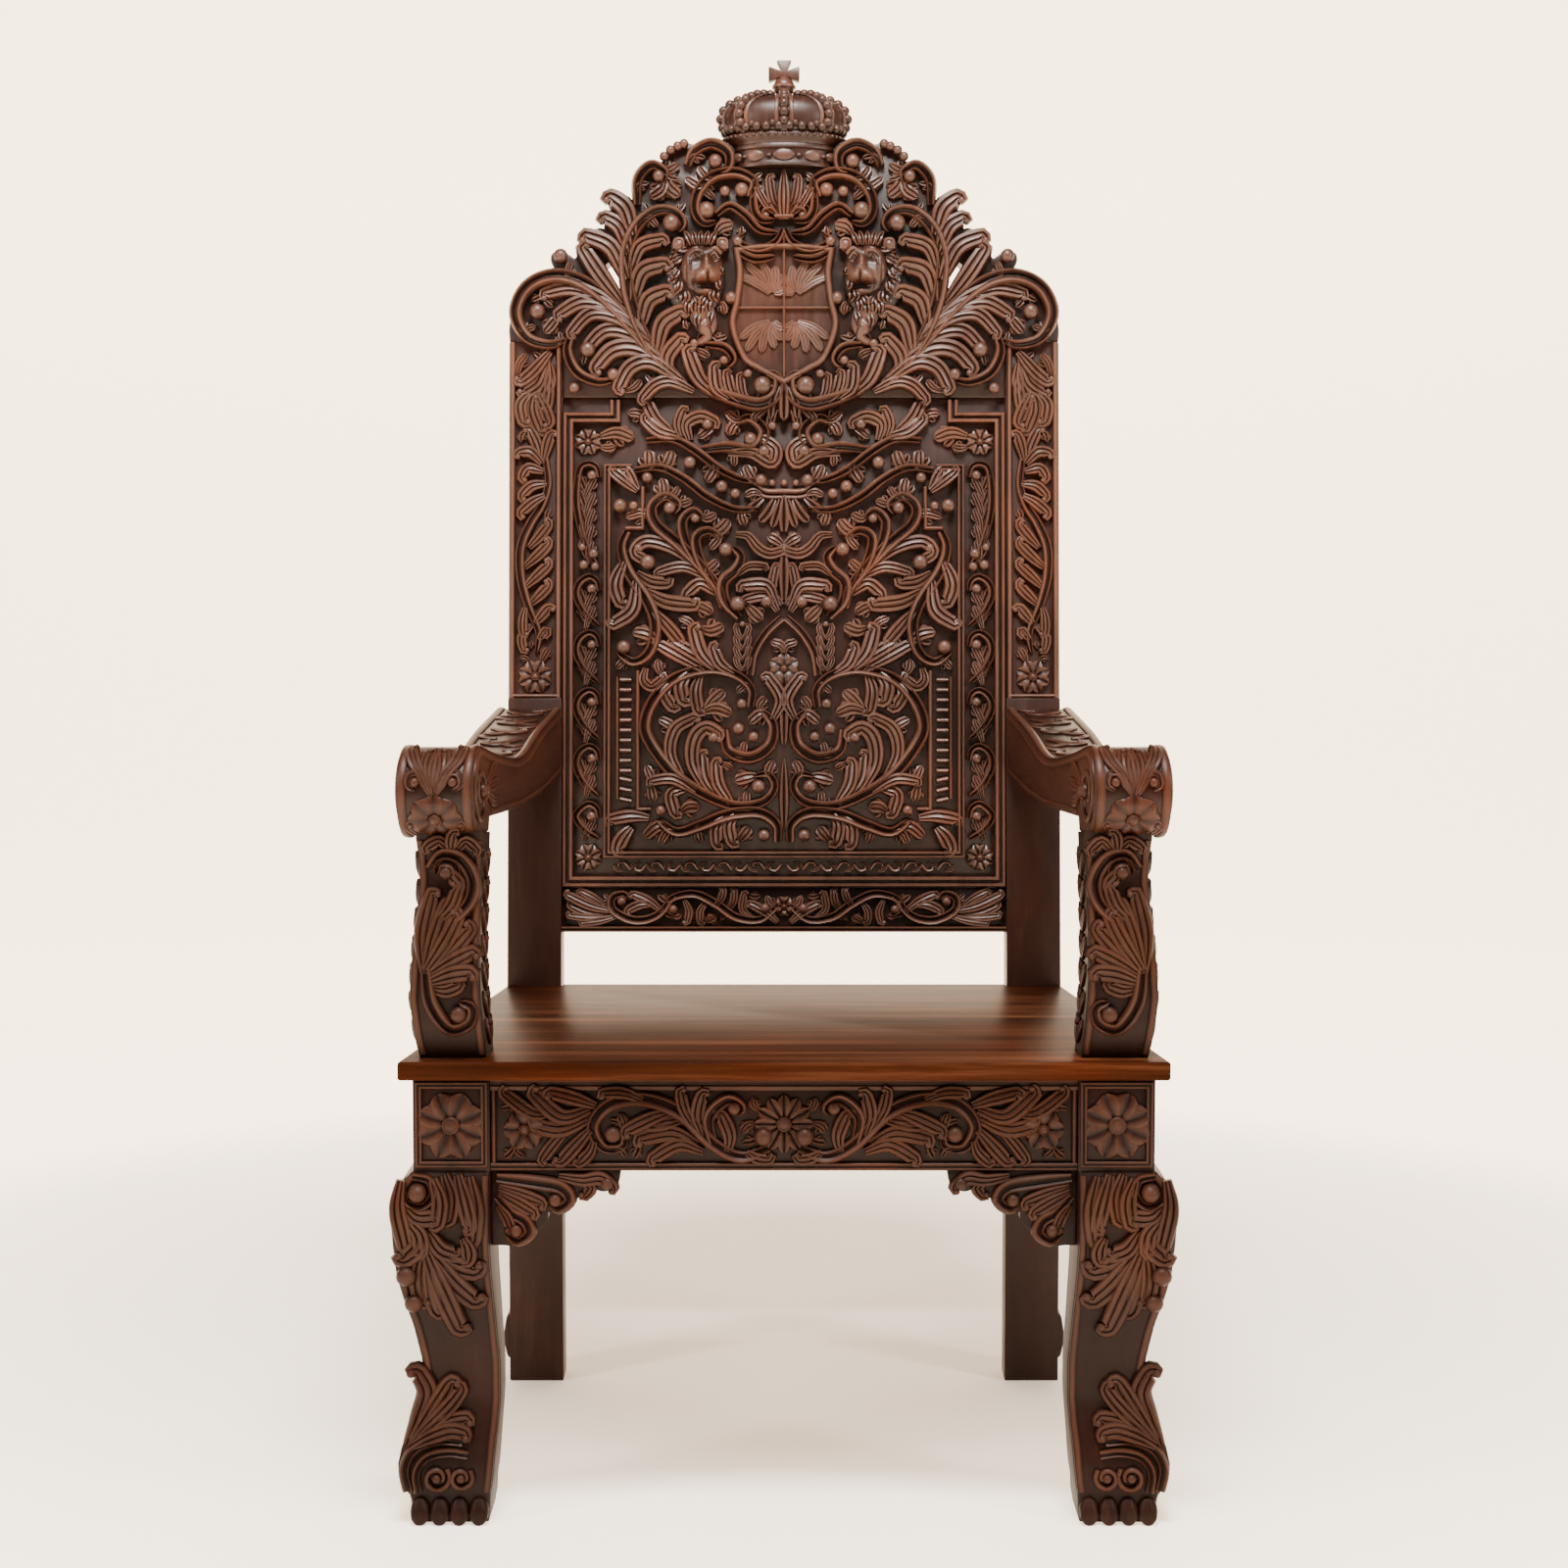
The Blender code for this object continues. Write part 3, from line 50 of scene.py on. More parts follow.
# The throne's driving sizes in millimetres, as in the solids
SEAT_HEIGHT = 500
SEAT_THICKNESS = 20
SEAT_DEPTH = 560
SEAT_TONGUE = 13
HALF_SEAT_FRONT = 408.5
HALF_SEAT_REAR = 344
RAKE = math.radians(6)
HALF_BACK = 343.5
POST_WIDTH = 67
POST_DEPTH = 52
POST_LENGTH = 803
CREST_HEIGHT = 1022
CROWN_HEIGHT = 138
FIT = 0.3
SEAT_FRONT = -(SEAT_DEPTH + (CREST_HEIGHT + CROWN_HEIGHT / 2) * math.sin(RAKE) + POST_DEPTH) / 2
HINGE = SEAT_FRONT + SEAT_DEPTH
POST_INNER = HALF_BACK - POST_WIDTH
BETWEEN_POSTS = POST_INNER - FIT
LEG_TOP = SEAT_HEIGHT - SEAT_THICKNESS - FIT
APRON_BOTTOM = LEG_TOP - 100
BLOCK_INNER = 312.5
BLOCK_WIDTH = 81.5
BLOCK_FRONT = SEAT_FRONT + 16
SIDE_SLOPE = (HALF_SEAT_FRONT - HALF_SEAT_REAR) / SEAT_DEPTH
ARM_SLOPE = (HALF_SEAT_FRONT - HALF_BACK - 16) / SEAT_DEPTH
ARM_WIDTH = 80

# Ground of the carving, out of the face of each board
CREST_FACE = -6
CREST_REAR = -40
POST_FACE = -6
PANEL_FACE = -14
RAIL_FACE = -12
APRON_FACE = -9
BRACKET_FACE = -10
# Carving starts this far inside the wood
FOOT = -3.0

# Sections of carved strokes: across, up, and tone: painted shade at the foot and in the grooves, wear
# and painted highlight on the ridges
FROND = (
    (-1, 0, 0.05), (-0.97, 0.5, 0.35), (-0.8, 0.86, 0.78), (-0.5, 0.92, 0.76), (-0.36, 0.7, 0.34),
    (-0.2, 0.9, 0.7), (0.12, 1, 0.86), (0.27, 0.76, 0.38), (0.42, 0.96, 0.76), (0.7, 1, 0.9),
    (0.9, 0.62, 0.5), (1, 0, 0.05),
)
LEAF = (
    (-1, 0, 0.05), (-0.95, 0.42, 0.4), (-0.66, 0.86, 0.85), (-0.25, 0.84, 0.62), (0, 0.56, 0.2),
    (0.25, 0.84, 0.62), (0.66, 0.9, 0.9), (0.95, 0.42, 0.4), (1, 0, 0.05),
)
BAND = (
    (-1, 0, 0.05), (-0.96, 0.62, 0.55), (-0.72, 0.86, 0.85), (-0.5, 0.72, 0.5), (-0.3, 0.42, 0.12),
    (-0.02, 0.5, 0.25), (0.3, 0.92, 0.8), (0.6, 1.04, 1), (0.9, 0.66, 0.6), (1, 0, 0.05),
)
CORD = (
    (-1, 0, 0.1), (-0.92, 0.5, 0.4), (-0.5, 0.92, 0.8), (0, 1.04, 1), (0.5, 0.92, 0.8), (0.92, 0.5, 0.4),
    (1, 0, 0.1),
)
MOULD = (
    (-1, 0, 0.05), (-1, 0.9, 0.5), (-0.85, 1, 0.9), (-0.35, 1, 0.75), (-0.2, 0.62, 0.15), (0.1, 0.62, 0.3),
    (0.35, 0.92, 0.75), (0.8, 0.92, 0.8), (1, 0.75, 0.5), (1, 0, 0.05),
)


def on_back(p):
    """Across, along the raked back and out of it, to a place in the room."""
    y = HINGE + p[:, 1] * math.sin(RAKE) - p[:, 2] * math.cos(RAKE)
    z = SEAT_HEIGHT + p[:, 1] * math.cos(RAKE) + p[:, 2] * math.sin(RAKE)
    return np.column_stack((p[:, 0], y, z)) * MM


def on_front(p):
    """Across, up and out of the front of the leg blocks, to a place in the room."""
    return np.column_stack((p[:, 0], BLOCK_FRONT - p[:, 2], p[:, 1])) * MM


def at_scale(p):
    return p * MM


def raised(place, high, x=0):
    """Another place's face, higher out of the wood and with its middle moved across."""
    return lambda p: place(p + (x, 0, high))


def sided(stem, side):
    return stem + ("_right" if side > 0 else "_left")


def smooth_curve(points, step):
    """A Catmull-Rom curve through the points, in equal steps."""
    p = np.array(points, float)
    knots = np.vstack((2 * p[0] - p[1], p, 2 * p[-1] - p[-2]))
    t = np.linspace(0, 1, 10, endpoint=False)[:, None]
    runs = []
    for a, b, c, d in zip(knots, knots[1:], knots[2:], knots[3:]):
        runs.append(b + (c - a) * t / 2 + (2 * a - 5 * b + 4 * c - d) * t * t / 2
                    + (3 * b - a - 3 * c + d) * t ** 3 / 2)
    dense = np.vstack((*runs, p[-1:]))
    length = np.concatenate(([0], np.cumsum(np.linalg.norm(np.diff(dense[:, :2], axis=0), axis=1))))
    count = max(4, round(length[-1] / step) + 1)
    at = np.linspace(0, length[-1], count)
    return np.column_stack([np.interp(at, length, dense[:, k]) for k in range(p.shape[1])])


def leaf_width(t):
    """Firm root, full belly and a round spoon of a tip."""
    belly = 0.5 + 0.5 * np.sin(math.pi / 2 * np.minimum(t / 0.55, 1)) - 0.42 * np.maximum(t - 0.62, 0)
    return belly * np.sqrt(np.clip(1 - (np.maximum(t - 0.86, 0) / 0.142) ** 2, 0.02, 1))


def rolled(points, half):
    """A leaf's path with its tip rolled over to the side that it bends to."""
    before, a, b = (np.array(point, float) for point in points[-3:])
    before = a - before
    way = (b - a) / np.linalg.norm(b - a)
    hand = 1 if before[0] * way[1] - before[1] * way[0] >= 0 else -1
    side = np.array((-way[1], way[0])) * hand
    size = 0.62 * half
    curl = [b + size * (way * math.sin(t) + side * (1 - math.cos(t))) for t in (0.9, 1.9, 2.7)]
    return (*points, *[tuple(p) for p in curl])


def point_width(t):
    return np.clip(np.sin(math.pi * np.minimum(t * 0.82 + 0.16, 1)) ** 0.8, 0.08, 1)


def stem_width(t):
    tip = np.sqrt(np.clip(1 - (np.maximum(t - 0.93, 0) / 0.075) ** 2, 0.04, 1))
    return (0.5 + 0.6 * np.sin(math.pi * (t * 0.8 + 0.12))) * tip


def even_width(t):
    return np.ones_like(t)


def petal_width(t):
    return np.clip((0.3 + 0.7 * np.sin(math.pi / 2 * np.minimum(t / 0.62, 1)))
                   * np.sqrt(np.clip(1 - (np.maximum(t - 0.62, 0) / 0.4) ** 2, 0.003, 1)), 0.05, 1)


class Relief:
    """The carving of one piece: closed shapes, mirrored to each of its sides, gathered into one mesh."""

    def __init__(self, place, sides=(1, -1)):
        self.place = place
        self.sides = sides
        self.taken = []
        self.points = []
        self.tones = []
        self.faces = []
        self.total = 0

    def add(self, local, faces, tones, sides=None, place=None):
        """Adds a closed shape for each side, its faces turned outwards."""
        for side in sides or self.sides:
            world = (place or self.place)(local * (side, 1, 1))
            corners = world - world.mean(axis=0)
            volume = 0.0
            for group in faces:
                a, b, c = (corners[group[:, k]] for k in range(3))
                volume += np.einsum("ij,ij->", a, np.cross(b, c))
                if group.shape[1] == 4:
                    d = corners[group[:, 3]]
                    volume += np.einsum("ij,ij->", a, np.cross(c, d))
            for group in faces:
                turned = group if volume > 0 else group[:, ::-1]
                self.faces += (turned + self.total).tolist()
            self.points.append(world)
            self.tones.append(tones)
            self.total += len(world)

    def tube(self, rings, tones, sides=None, place=None):
        """A skin over rings of equal size, closed at both ends."""
        count, size, _ = rings.shape
        index = np.arange(count * size).reshape(count, size)
        after = np.roll(index, -1, axis=1)
        quads = np.stack((index[:-1], after[:-1], after[1:], index[1:]), axis=-1).reshape(-1, 4)
        ends = np.array((rings[0].mean(axis=0), rings[-1].mean(axis=0)))
        first = np.column_stack((after[0], index[0], np.full(size, count * size)))
        last = np.column_stack((index[-1], after[-1], np.full(size, count * size + 1)))
        local = np.vstack((rings.reshape(-1, 3), ends))
        shades = np.concatenate((tones.reshape(-1), (tones[0].mean(), tones[-1].mean())))
        self.add(local, (quads, np.vstack((first, last))), shades, sides, place)

    def stroke(self, points, half, rise=7.0, section=FROND, width=leaf_width, step=4.0, lift=0.0, sides=None,
               swell=0.45, place=None):
        """A leaf or stem swept along a curve; a third coordinate of its points lifts it."""
        path = smooth_curve(points, step)
        if path.shape[1] == 2:
            path = np.column_stack((path, np.zeros(len(path))))
        t = np.linspace(0, 1, len(path))
        along = np.gradient(path[:, :2], axis=0)
        run = np.linalg.norm(along, axis=1)
        along /= run[:, None]
        bend = np.gradient(along, axis=0) / run[:, None]
        turn = along[:, 0] * bend[:, 1] - along[:, 1] * bend[:, 0]
        right = np.column_stack((along[:, 1], -along[:, 0]))
        wide = half * width(t)
        inner = 0.8 / np.maximum(np.abs(turn), 1e-6)
        wide_right = np.where(turn < 0, np.minimum(wide, inner), wide)
        wide_left = np.where(turn > 0, np.minimum(wide, inner), wide)
        across, up, tone = (np.array(column) for column in zip(*section))
        self.taken.append(np.column_stack((path[:, :2], wide * 0.92, along)))
        reach = np.where(across[None, :] > 0, wide_right[:, None], wide_left[:, None]) * across[None, :]
        tall = rise * (1 - swell + swell * np.sin(math.pi * np.clip(t * 0.85 + 0.08, 0, 1)))
        rings = np.empty((len(path), len(across), 3))
        rings[..., :2] = path[:, None, :2] + right[:, None, :] * reach[..., None]
        rings[..., 2] = lift + path[:, 2, None] + up[None, :] * tall[:, None]
        rings[:, (0, -1), 2] = FOOT
        self.tube(rings, np.tile(tone, (len(path), 1)), sides, place)

    def strokes(self, rows, **look):
        for half, *points in rows:
            self.stroke(points, half, **look)

    def stems(self, rows, rise):
        """Banded stems and scrolls."""
        self.strokes(rows, rise=rise, section=BAND, width=stem_width)

    def cord(self, points, half, rise, step=4.0, **look):
        self.stroke(points, half, rise, CORD, even_width, step, **look)

    def leaves(self, rows, widen, rise):
        """Broad leaves with rolled tips, in turn at three levels."""
        for i, (half, *points) in enumerate(rows):
            path = rolled(points, half)
            lift = (i % 3) * 0.9
            self.stroke(path, half * widen, rise, step=3.6, lift=lift)
            self.ball(*path[-2], half * 0.5, rise * 0.3 + lift, 8)

    def turned(self, x, s, profile, segments=14, lift=0.0, sides=None, stretch=1.0, tone=0.85, place=None):
        """A turned knob: radius and height pairs from its foot to its top."""
        sides = sides or (self.sides if x else self.sides[:1])
        self.keep(x, s, max(r for r, _ in profile))
        angle = np.linspace(0, math.tau, segments, endpoint=False)
        radius, high = (np.array(column, float) for column in zip(*profile))
        rings = np.empty((len(profile), segments, 3))
        rings[..., 0] = x + radius[:, None] * np.cos(angle)
        rings[..., 1] = s + radius[:, None] * np.sin(angle) * stretch
        rings[..., 2] = lift + high[:, None]
        # Painted shade at the knob's foot, lighter towards its top as on the other ridges
        shade = tone * np.clip(0.25 + 0.75 * (high - high[0]) / (high.max() - high[0]), 0, 1)
        self.tube(rings, np.tile(shade[:, None], (1, segments)), sides, place)

    def ball(self, x, s, radius, lift=0.0, segments=14, sides=None, squash=0.85, place=None):
        turns = np.linspace(-0.45, 0.5, 8) * math.pi
        profile = [(radius * max(math.cos(a), 0.02), radius * squash * (math.sin(a) + 0.5)) for a in turns]
        self.turned(x, s, profile, segments, lift, sides, place=place)

    def balls(self, rows, lift=1.0):
        for x, s, radius in rows:
            self.ball(x, s, radius, lift)

    def flower(self, x, s, radius, petals=8, rise=6.0, turn=0.0):
        """A rosette: grooved petals round a ringed button."""
        sides = self.sides if x else self.sides[:1]
        half = radius * math.sin(math.pi / petals) * 1.12
        middle = np.array((x, s))
        for i in range(petals):
            angle = turn + math.tau * i / petals
            way = np.array((math.cos(angle), math.sin(angle)))
            points = [(*(middle + way * radius * k), high) for k, high in ((0.16, -1), (0.6, 1.5), (1.0, -1))]
            self.stroke(points, half, rise, LEAF, petal_width, 3.0, sides=sides, swell=0.2)
        r = radius * 0.27
        button = ((r, -2), (r, rise), (r * 0.86, rise + 1.6), (r * 0.7, rise + 0.6), (r * 0.55, rise + 1.2),
                  (r * 0.3, rise + 2.6), (r * 0.02, rise + 3))
        self.turned(x, s, button)

    def keep(self, x, s, radius):
        """Keeps later leaves off a round spot."""
        self.taken.append(np.array(((x, s, radius, 0, 0),), float))

    def fill(self, outline, least=4.5, most=10.0, rise=8.0, count=120, reach=60.0, edge=1.0):
        """Grows leaves out of the nearest stems into the bare ground that is left inside an outline."""
        outline = np.array(outline, float)
        low, high = outline.min(axis=0), outline.max(axis=0)
        xs, ss = np.meshgrid(np.arange(low[0], high[0], 2.5), np.arange(low[1], high[1], 2.5))
        spots = np.column_stack((xs.ravel(), ss.ravel()))
        spots = spots[within(spots, outline)]
        walls = [a + (b - a) * t for a, b in zip(outline, np.roll(outline, -1, axis=0))
                 for t in np.arange(0, 1, 4 / max(np.linalg.norm(b - a), 4))]
        clear = np.full(len(spots), 1e3)
        marks = np.vstack(self.taken)
        for x, s, wide in (*marks[:, :3], *[(*wall, edge) for wall in walls]):
            np.minimum(clear, np.hypot(spots[:, 0] - x, spots[:, 1] - s) - wide, out=clear)
        stems = marks[np.abs(marks[:, 3:]).sum(axis=1) > 0]
        for i in range(count):
            k = clear.argmax()
            room = clear[k]
            if room < least:
                break
            away = spots[k] - stems[:, :2]
            far = np.maximum(np.linalg.norm(away, axis=1), 1)
            ahead = (away * stems[:, 3:]).sum(axis=1) / far
            cost = far - 14 * ahead + np.where(far < room + 3, 30, 0)
            j = cost.argmin()
            if far[j] > reach:
                self.flower(*spots[k], room * 1.05, 6, rise=rise * 0.7)
            else:
                heading = away[j] / far[j]
                half = min(room * 0.92, most)
                bow = stems[j, :2] + (stems[j, 3:] * 0.38 + heading * 0.22) * far[j]
                tip = spots[k] + heading * half * 0.5
                self.lobed(stems[j, :2], bow, tip, half, rise, (i % 3) * 0.7 - 1.5)
            for x, s, wide in self.taken[-1][:, :3]:
                np.minimum(clear, np.hypot(spots[:, 0] - x, spots[:, 1] - s) - wide, out=clear)
            np.minimum(clear, np.hypot(*(spots - spots[k]).T) - room * 0.6, out=clear)

    def lobed(self, root, bow, tip, half, rise, lift=0.0):
        """A short leaf with a pair of side lobes under its middle one."""
        root, bow, tip = (np.array(point, float) for point in (root, bow, tip))
        ahead = tip - bow
        ahead /= np.linalg.norm(ahead)
        length = np.linalg.norm(tip - root)
        for hand in (1, -1):
            out = np.array((ahead[1], -ahead[0])) * hand
            start = root + (bow - root) * 0.8
            end = start + ahead * length * 0.42 + out * half * 0.85
            middle = (start + end) / 2 + out * half * 0.2
            self.stroke((start, middle, end), half * 0.55, rise * 0.75, LEAF, step=3.8, lift=lift)
        self.stroke((root, bow, tip), half * 0.8, rise, FROND if half > 6.5 else LEAF, step=3.8, lift=lift)

    def moulding(self, corners, half, rise, section=MOULD, closed=False, sides=None):
        """A straight-edged moulding with mitred corners."""
        p = np.array(corners, float)
        for a, b in zip(p, np.roll(p, -1, axis=0) if closed else p[1:]):
            for t in np.arange(0, 1, 4 / max(np.linalg.norm(b - a), 4)):
                self.keep(*(a + (b - a) * t), half)
        steps = np.diff(np.vstack((p, p[:1])) if closed else p, axis=0)
        steps /= np.linalg.norm(steps, axis=1)[:, None]
        before = np.roll(steps, 1, axis=0) if closed else np.vstack((steps[:1], steps))
        after = steps if closed else np.vstack((steps, steps[-1:]))
        right = np.column_stack((before[:, 1] + after[:, 1], -before[:, 0] - after[:, 0]))
        right /= (1 + np.einsum("ij,ij->i", before, after))[:, None]
        across, up, tone = (np.array(column) for column in zip(*section))
        rings = np.empty((len(p), len(across), 3))
        rings[..., :2] = p[:, None, :] + right[:, None, :] * (across * half)[None, :, None]
        rings[..., 2] = up * rise
        rings[:, (0, -1), 2] = FOOT
        if closed:
            rings = np.concatenate((rings, rings[:1]))
        self.tube(rings, np.tile(tone, (len(rings), 1)), sides)

    def finish(self, name, *others, angle=38):
        """Makes the mesh and joins other pieces of wood to it."""
        mesh = bpy.data.meshes.new(name)
        mesh.from_pydata(np.vstack(self.points).tolist(), [], self.faces)
        item = bpy.data.objects.new(name, mesh)
        bpy.context.scene.collection.objects.link(item)
        # Tone per point: wear, painted shade in recesses and painted highlight on ridges
        rubbed = mesh.attributes.new("rubbed", "FLOAT", "POINT")
        rubbed.data.foreach_set("value", np.concatenate(self.tones))
        return join(item, *others, angle=angle)


def within(points, outline):
    """Which of the points lie inside an outline."""
    inside = np.zeros(len(points), bool)
    for (ax, ay), (bx, by) in zip(outline, np.roll(outline, -1, axis=0)):
        if ay != by:
            crosses = (points[:, 1] < ay) != (points[:, 1] < by)
            inside ^= crosses & (points[:, 0] < ax + (points[:, 1] - ay) * (bx - ax) / (by - ay))
    return inside


def join(item, *others, angle=38):
    """Joins pieces of wood into the first one and shades them."""
    bpy.ops.object.select_all(action="DESELECT")
    for other in (item, *others):
        other.select_set(True)
    bpy.context.view_layer.objects.active = item
    if others:
        bpy.ops.object.join()
    bpy.ops.object.shade_smooth_by_angle(angle=math.radians(angle))
    item.select_set(False)
    return item


def plank(outline, low, high, place, rubbed=0.5, bevel=1.2, segments=2):
    """A board with softened edges, from the outline of its face and its two depths."""
    bpy.ops.mesh.primitive_circle_add(vertices=len(outline), fill_type="NGON")
    item = bpy.context.object
    for vert, point in zip(item.data.vertices, outline):
        vert.co = (point[0], point[1], low)
    bpy.ops.object.mode_set(mode="EDIT")
    bpy.ops.mesh.select_all(action="SELECT")
    bpy.ops.mesh.extrude_region_move(TRANSFORM_OT_translate={"value": (0, 0, high - low)})
    bpy.ops.mesh.select_all(action="SELECT")
    bpy.ops.mesh.normals_make_consistent(inside=False)
    if bevel:
        bpy.ops.mesh.bevel(offset=bevel, segments=segments, affect="EDGES")
    bpy.ops.object.mode_set(mode="OBJECT")
    return settle(item, place, rubbed)


def settle(item, place, rubbed=0.5):
    """Moves a mesh drawn in millimetres to its place, with its faces outwards and its tone of wear and
    painted light written.
    """
    mesh = item.data
    count = len(mesh.vertices)
    flat = np.empty(count * 3)
    mesh.vertices.foreach_get("co", flat)
    world = place(flat.reshape(-1, 3))
    mesh.vertices.foreach_set("co", world.reshape(-1))
    shape = bmesh.new()
    shape.from_mesh(mesh)
    bmesh.ops.recalc_face_normals(shape, faces=shape.faces)
    shape.to_mesh(mesh)
    shape.free()
    item.matrix_world.identity()
    layer = mesh.attributes.new("rubbed", "FLOAT", "POINT")
    layer.data.foreach_set("value", np.full(count, rubbed) if np.isscalar(rubbed) else rubbed)
    mesh.update()
    item.select_set(False)
    return item


def box(x0, x1, y0, y1):
    return ((x0, y0), (x1, y0), (x1, y1), (x0, y1))


class Signal:
    """A shader socket's value, so that shader maths reads as an expression."""

    def __init__(self, shader, socket):
        self.shader = shader
        self.socket = socket

    def maths(self, operation, a, b):
        return self.shader.node("ShaderNodeMath", {"operation": operation}, {0: a, 1: b})

    def __add__(self, other):
        return self.maths("ADD", self, other)

    def __radd__(self, other):
        return self.maths("ADD", other, self)

    def __sub__(self, other):
        return self.maths("SUBTRACT", self, other)

    def __rsub__(self, other):
        return self.maths("SUBTRACT", other, self)

    def __mul__(self, other):
        return self.maths("MULTIPLY", self, other)

    def __rmul__(self, other):
        return self.maths("MULTIPLY", other, self)


class Finish:
    """A material made from nodes."""

    def __init__(self, name):
        self.material = bpy.data.materials.new(name)
        self.material.use_nodes = True
        self.tree = self.material.node_tree
        self.surface = self.tree.nodes["Principled BSDF"]

    def set(self, node, sockets):
        for key, value in sockets.items():
            socket = node.inputs[key]
            if isinstance(value, Signal):
                self.tree.links.new(value.socket, socket)
            else:
                socket.default_value = value

    def node(self, kind, settings=None, sockets=None, output=0):
        made = self.tree.nodes.new(kind)
        for key, value in (settings or {}).items():
            if key == "stops":
                ramp = made.color_ramp.elements
                while len(ramp) < len(value):
                    ramp.new(0.5)
                for stop, (place, colour) in zip(ramp, value):
                    stop.position = place
                    stop.color = (*colour, 1)
            else:
                setattr(made, key, value)
        self.set(made, sockets or {})
        return Signal(self, made.outputs[output])

    def surface_values(self, **values):
        self.set(self.surface, {key.replace("_", " "): value for key, value in values.items()})


WARM_TINT = (1.35, 0.95, 0.72, 1)
PORE_DEPTH = 0.0006


def wood(name, grain, dark, middle, light, gloss, streaks=1.0, carved=True, shine=0.3):
    """Oiled hardwood: long fibres, broad streaks and pores; painted shade in the recesses, and ridges
    lightened by wear and by painted highlight.
    """
    made = Finish(name)
    place = made.node("ShaderNodeTexCoord", output=3)
    fibre = made.node("ShaderNodeMapping", {}, {0: place, "Scale": grain})
    broad, fine, patch = (made.node("ShaderNodeTexNoise", {}, sockets) for sockets in (
        {"Vector": fibre, "Scale": 5.0, "Detail": 3.0, "Roughness": 0.55, "Distortion": 0.6},
        {"Vector": fibre, "Scale": 38.0, "Detail": 4.0, "Roughness": 0.6},
        {"Vector": place, "Scale": 9.0, "Detail": 2.0}))
    figure = broad * (0.62 * streaks) + fine * 0.3 + (0.19 - 0.31 * streaks)
    if carved:
        # The mesh's tone: painted shade in recesses, wear and painted highlight on ridges
        rubbed = made.node("ShaderNodeAttribute", {"attribute_name": "rubbed"}, {}, 2)
        shade = rubbed * 0.64 + figure * 0.52 + patch * 0.2 - 0.09
    else:
        shade = figure * 1.25 + 0.06
    colours = ((0.12, dark), (0.5, middle), (0.95, light))
    colour = made.node("ShaderNodeValToRGB", {"stops": colours}, {0: shade})
    warm = made.node("ShaderNodeValToRGB", {"stops": ((0.5, (0, 0, 0)), (0.72, (1, 1, 1)))}, {0: patch})
    tint = made.node("ShaderNodeMix", {"data_type": "RGBA", "blend_type": "MULTIPLY"},
                     {0: warm * 0.6, 6: colour, 7: WARM_TINT}, 2)
    pores = made.node("ShaderNodeBump", {}, {"Strength": 0.25, "Distance": PORE_DEPTH,
                                             "Height": fine * 0.6 + broad * 0.4})
    rough = gloss + fine * 0.16
    made.surface_values(Base_Color=tint, Roughness=rough, Normal=pores, Specular_IOR_Level=shine)
    return made.material


# The pattern's scale along each axis: small along the fibres
UPRIGHT = (5.0, 5.0, 0.45)
ACROSS = (0.45, 5.0, 5.0)
BACKWARDS = (5.0, 0.45, 5.0)
PLANK_GRAIN = (0.3, 8.0, 8.0)
# Recesses, flat wood and ridges of the back, of the pieces in front, of the arms and of the seat. On carved
# wood the recess colour is painted shade and the ridge colour is wear and painted highlight; on the seat all
# three are grain. The pieces in front and the arms have darker copies: painted shade, not darker wood.
PAINTED_RECESS_SHADE = (0.0009, 0.0002, 0.0001)
MIDDLE = (0.021, 0.006, 0.0025)
RIDGE_WEAR_AND_HIGHLIGHT = (0.128, 0.059, 0.038)
SHADED_FRONT_FLAT = (0.0105, 0.0026, 0.0009)
SHADED_FRONT_RIDGE = (0.055, 0.0225, 0.0125)
SHADED_ARM_FLAT = (0.021, 0.005, 0.0015)
SHADED_ARM_RIDGE = (0.056, 0.021, 0.0115)
SEAT_DARK = (0.004, 0.001, 0.0004)
SEAT_MIDDLE = (0.03, 0.0082, 0.003)
SEAT_LIGHT = (0.112, 0.042, 0.0195)

carved_wood = wood("carved_rosewood", UPRIGHT, PAINTED_RECESS_SHADE, MIDDLE, RIDGE_WEAR_AND_HIGHLIGHT, 0.31, shine=0.38)
post_wood = wood("upright_rosewood", UPRIGHT, PAINTED_RECESS_SHADE, MIDDLE, RIDGE_WEAR_AND_HIGHLIGHT, 0.34, 1.3, shine=0.2)
rail_wood = wood("cross_rosewood", ACROSS, PAINTED_RECESS_SHADE, MIDDLE, RIDGE_WEAR_AND_HIGHLIGHT, 0.34, shine=0.25)
# The arms and the pieces in front use darker copies of the wood: painted shade against the studio light
shaded_arm_wood = wood("shaded_arm_rosewood", BACKWARDS, PAINTED_RECESS_SHADE, SHADED_ARM_FLAT, SHADED_ARM_RIDGE, 0.34, 1.2, shine=0.18)
shaded_front_wood = wood("shaded_front_rosewood", UPRIGHT, PAINTED_RECESS_SHADE, SHADED_FRONT_FLAT, SHADED_FRONT_RIDGE, 0.38, 1.2, shine=0.12)
shaded_frieze_wood = wood("shaded_frieze_rosewood", ACROSS, PAINTED_RECESS_SHADE, SHADED_FRONT_FLAT, SHADED_FRONT_RIDGE, 0.38, shine=0.12)
apron_wood = wood("apron_rosewood", BACKWARDS, PAINTED_RECESS_SHADE, MIDDLE, RIDGE_WEAR_AND_HIGHLIGHT, 0.4, 1.3, shine=0.2)
seat_wood = wood("polished_seat", PLANK_GRAIN, SEAT_DARK, SEAT_MIDDLE, SEAT_LIGHT, 0.3, 1.7, False, 0.01)


def dress(item, node, material):
    item.data.materials.clear()
    item.data.materials.append(material)
    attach(item, "root")
    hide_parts(node)


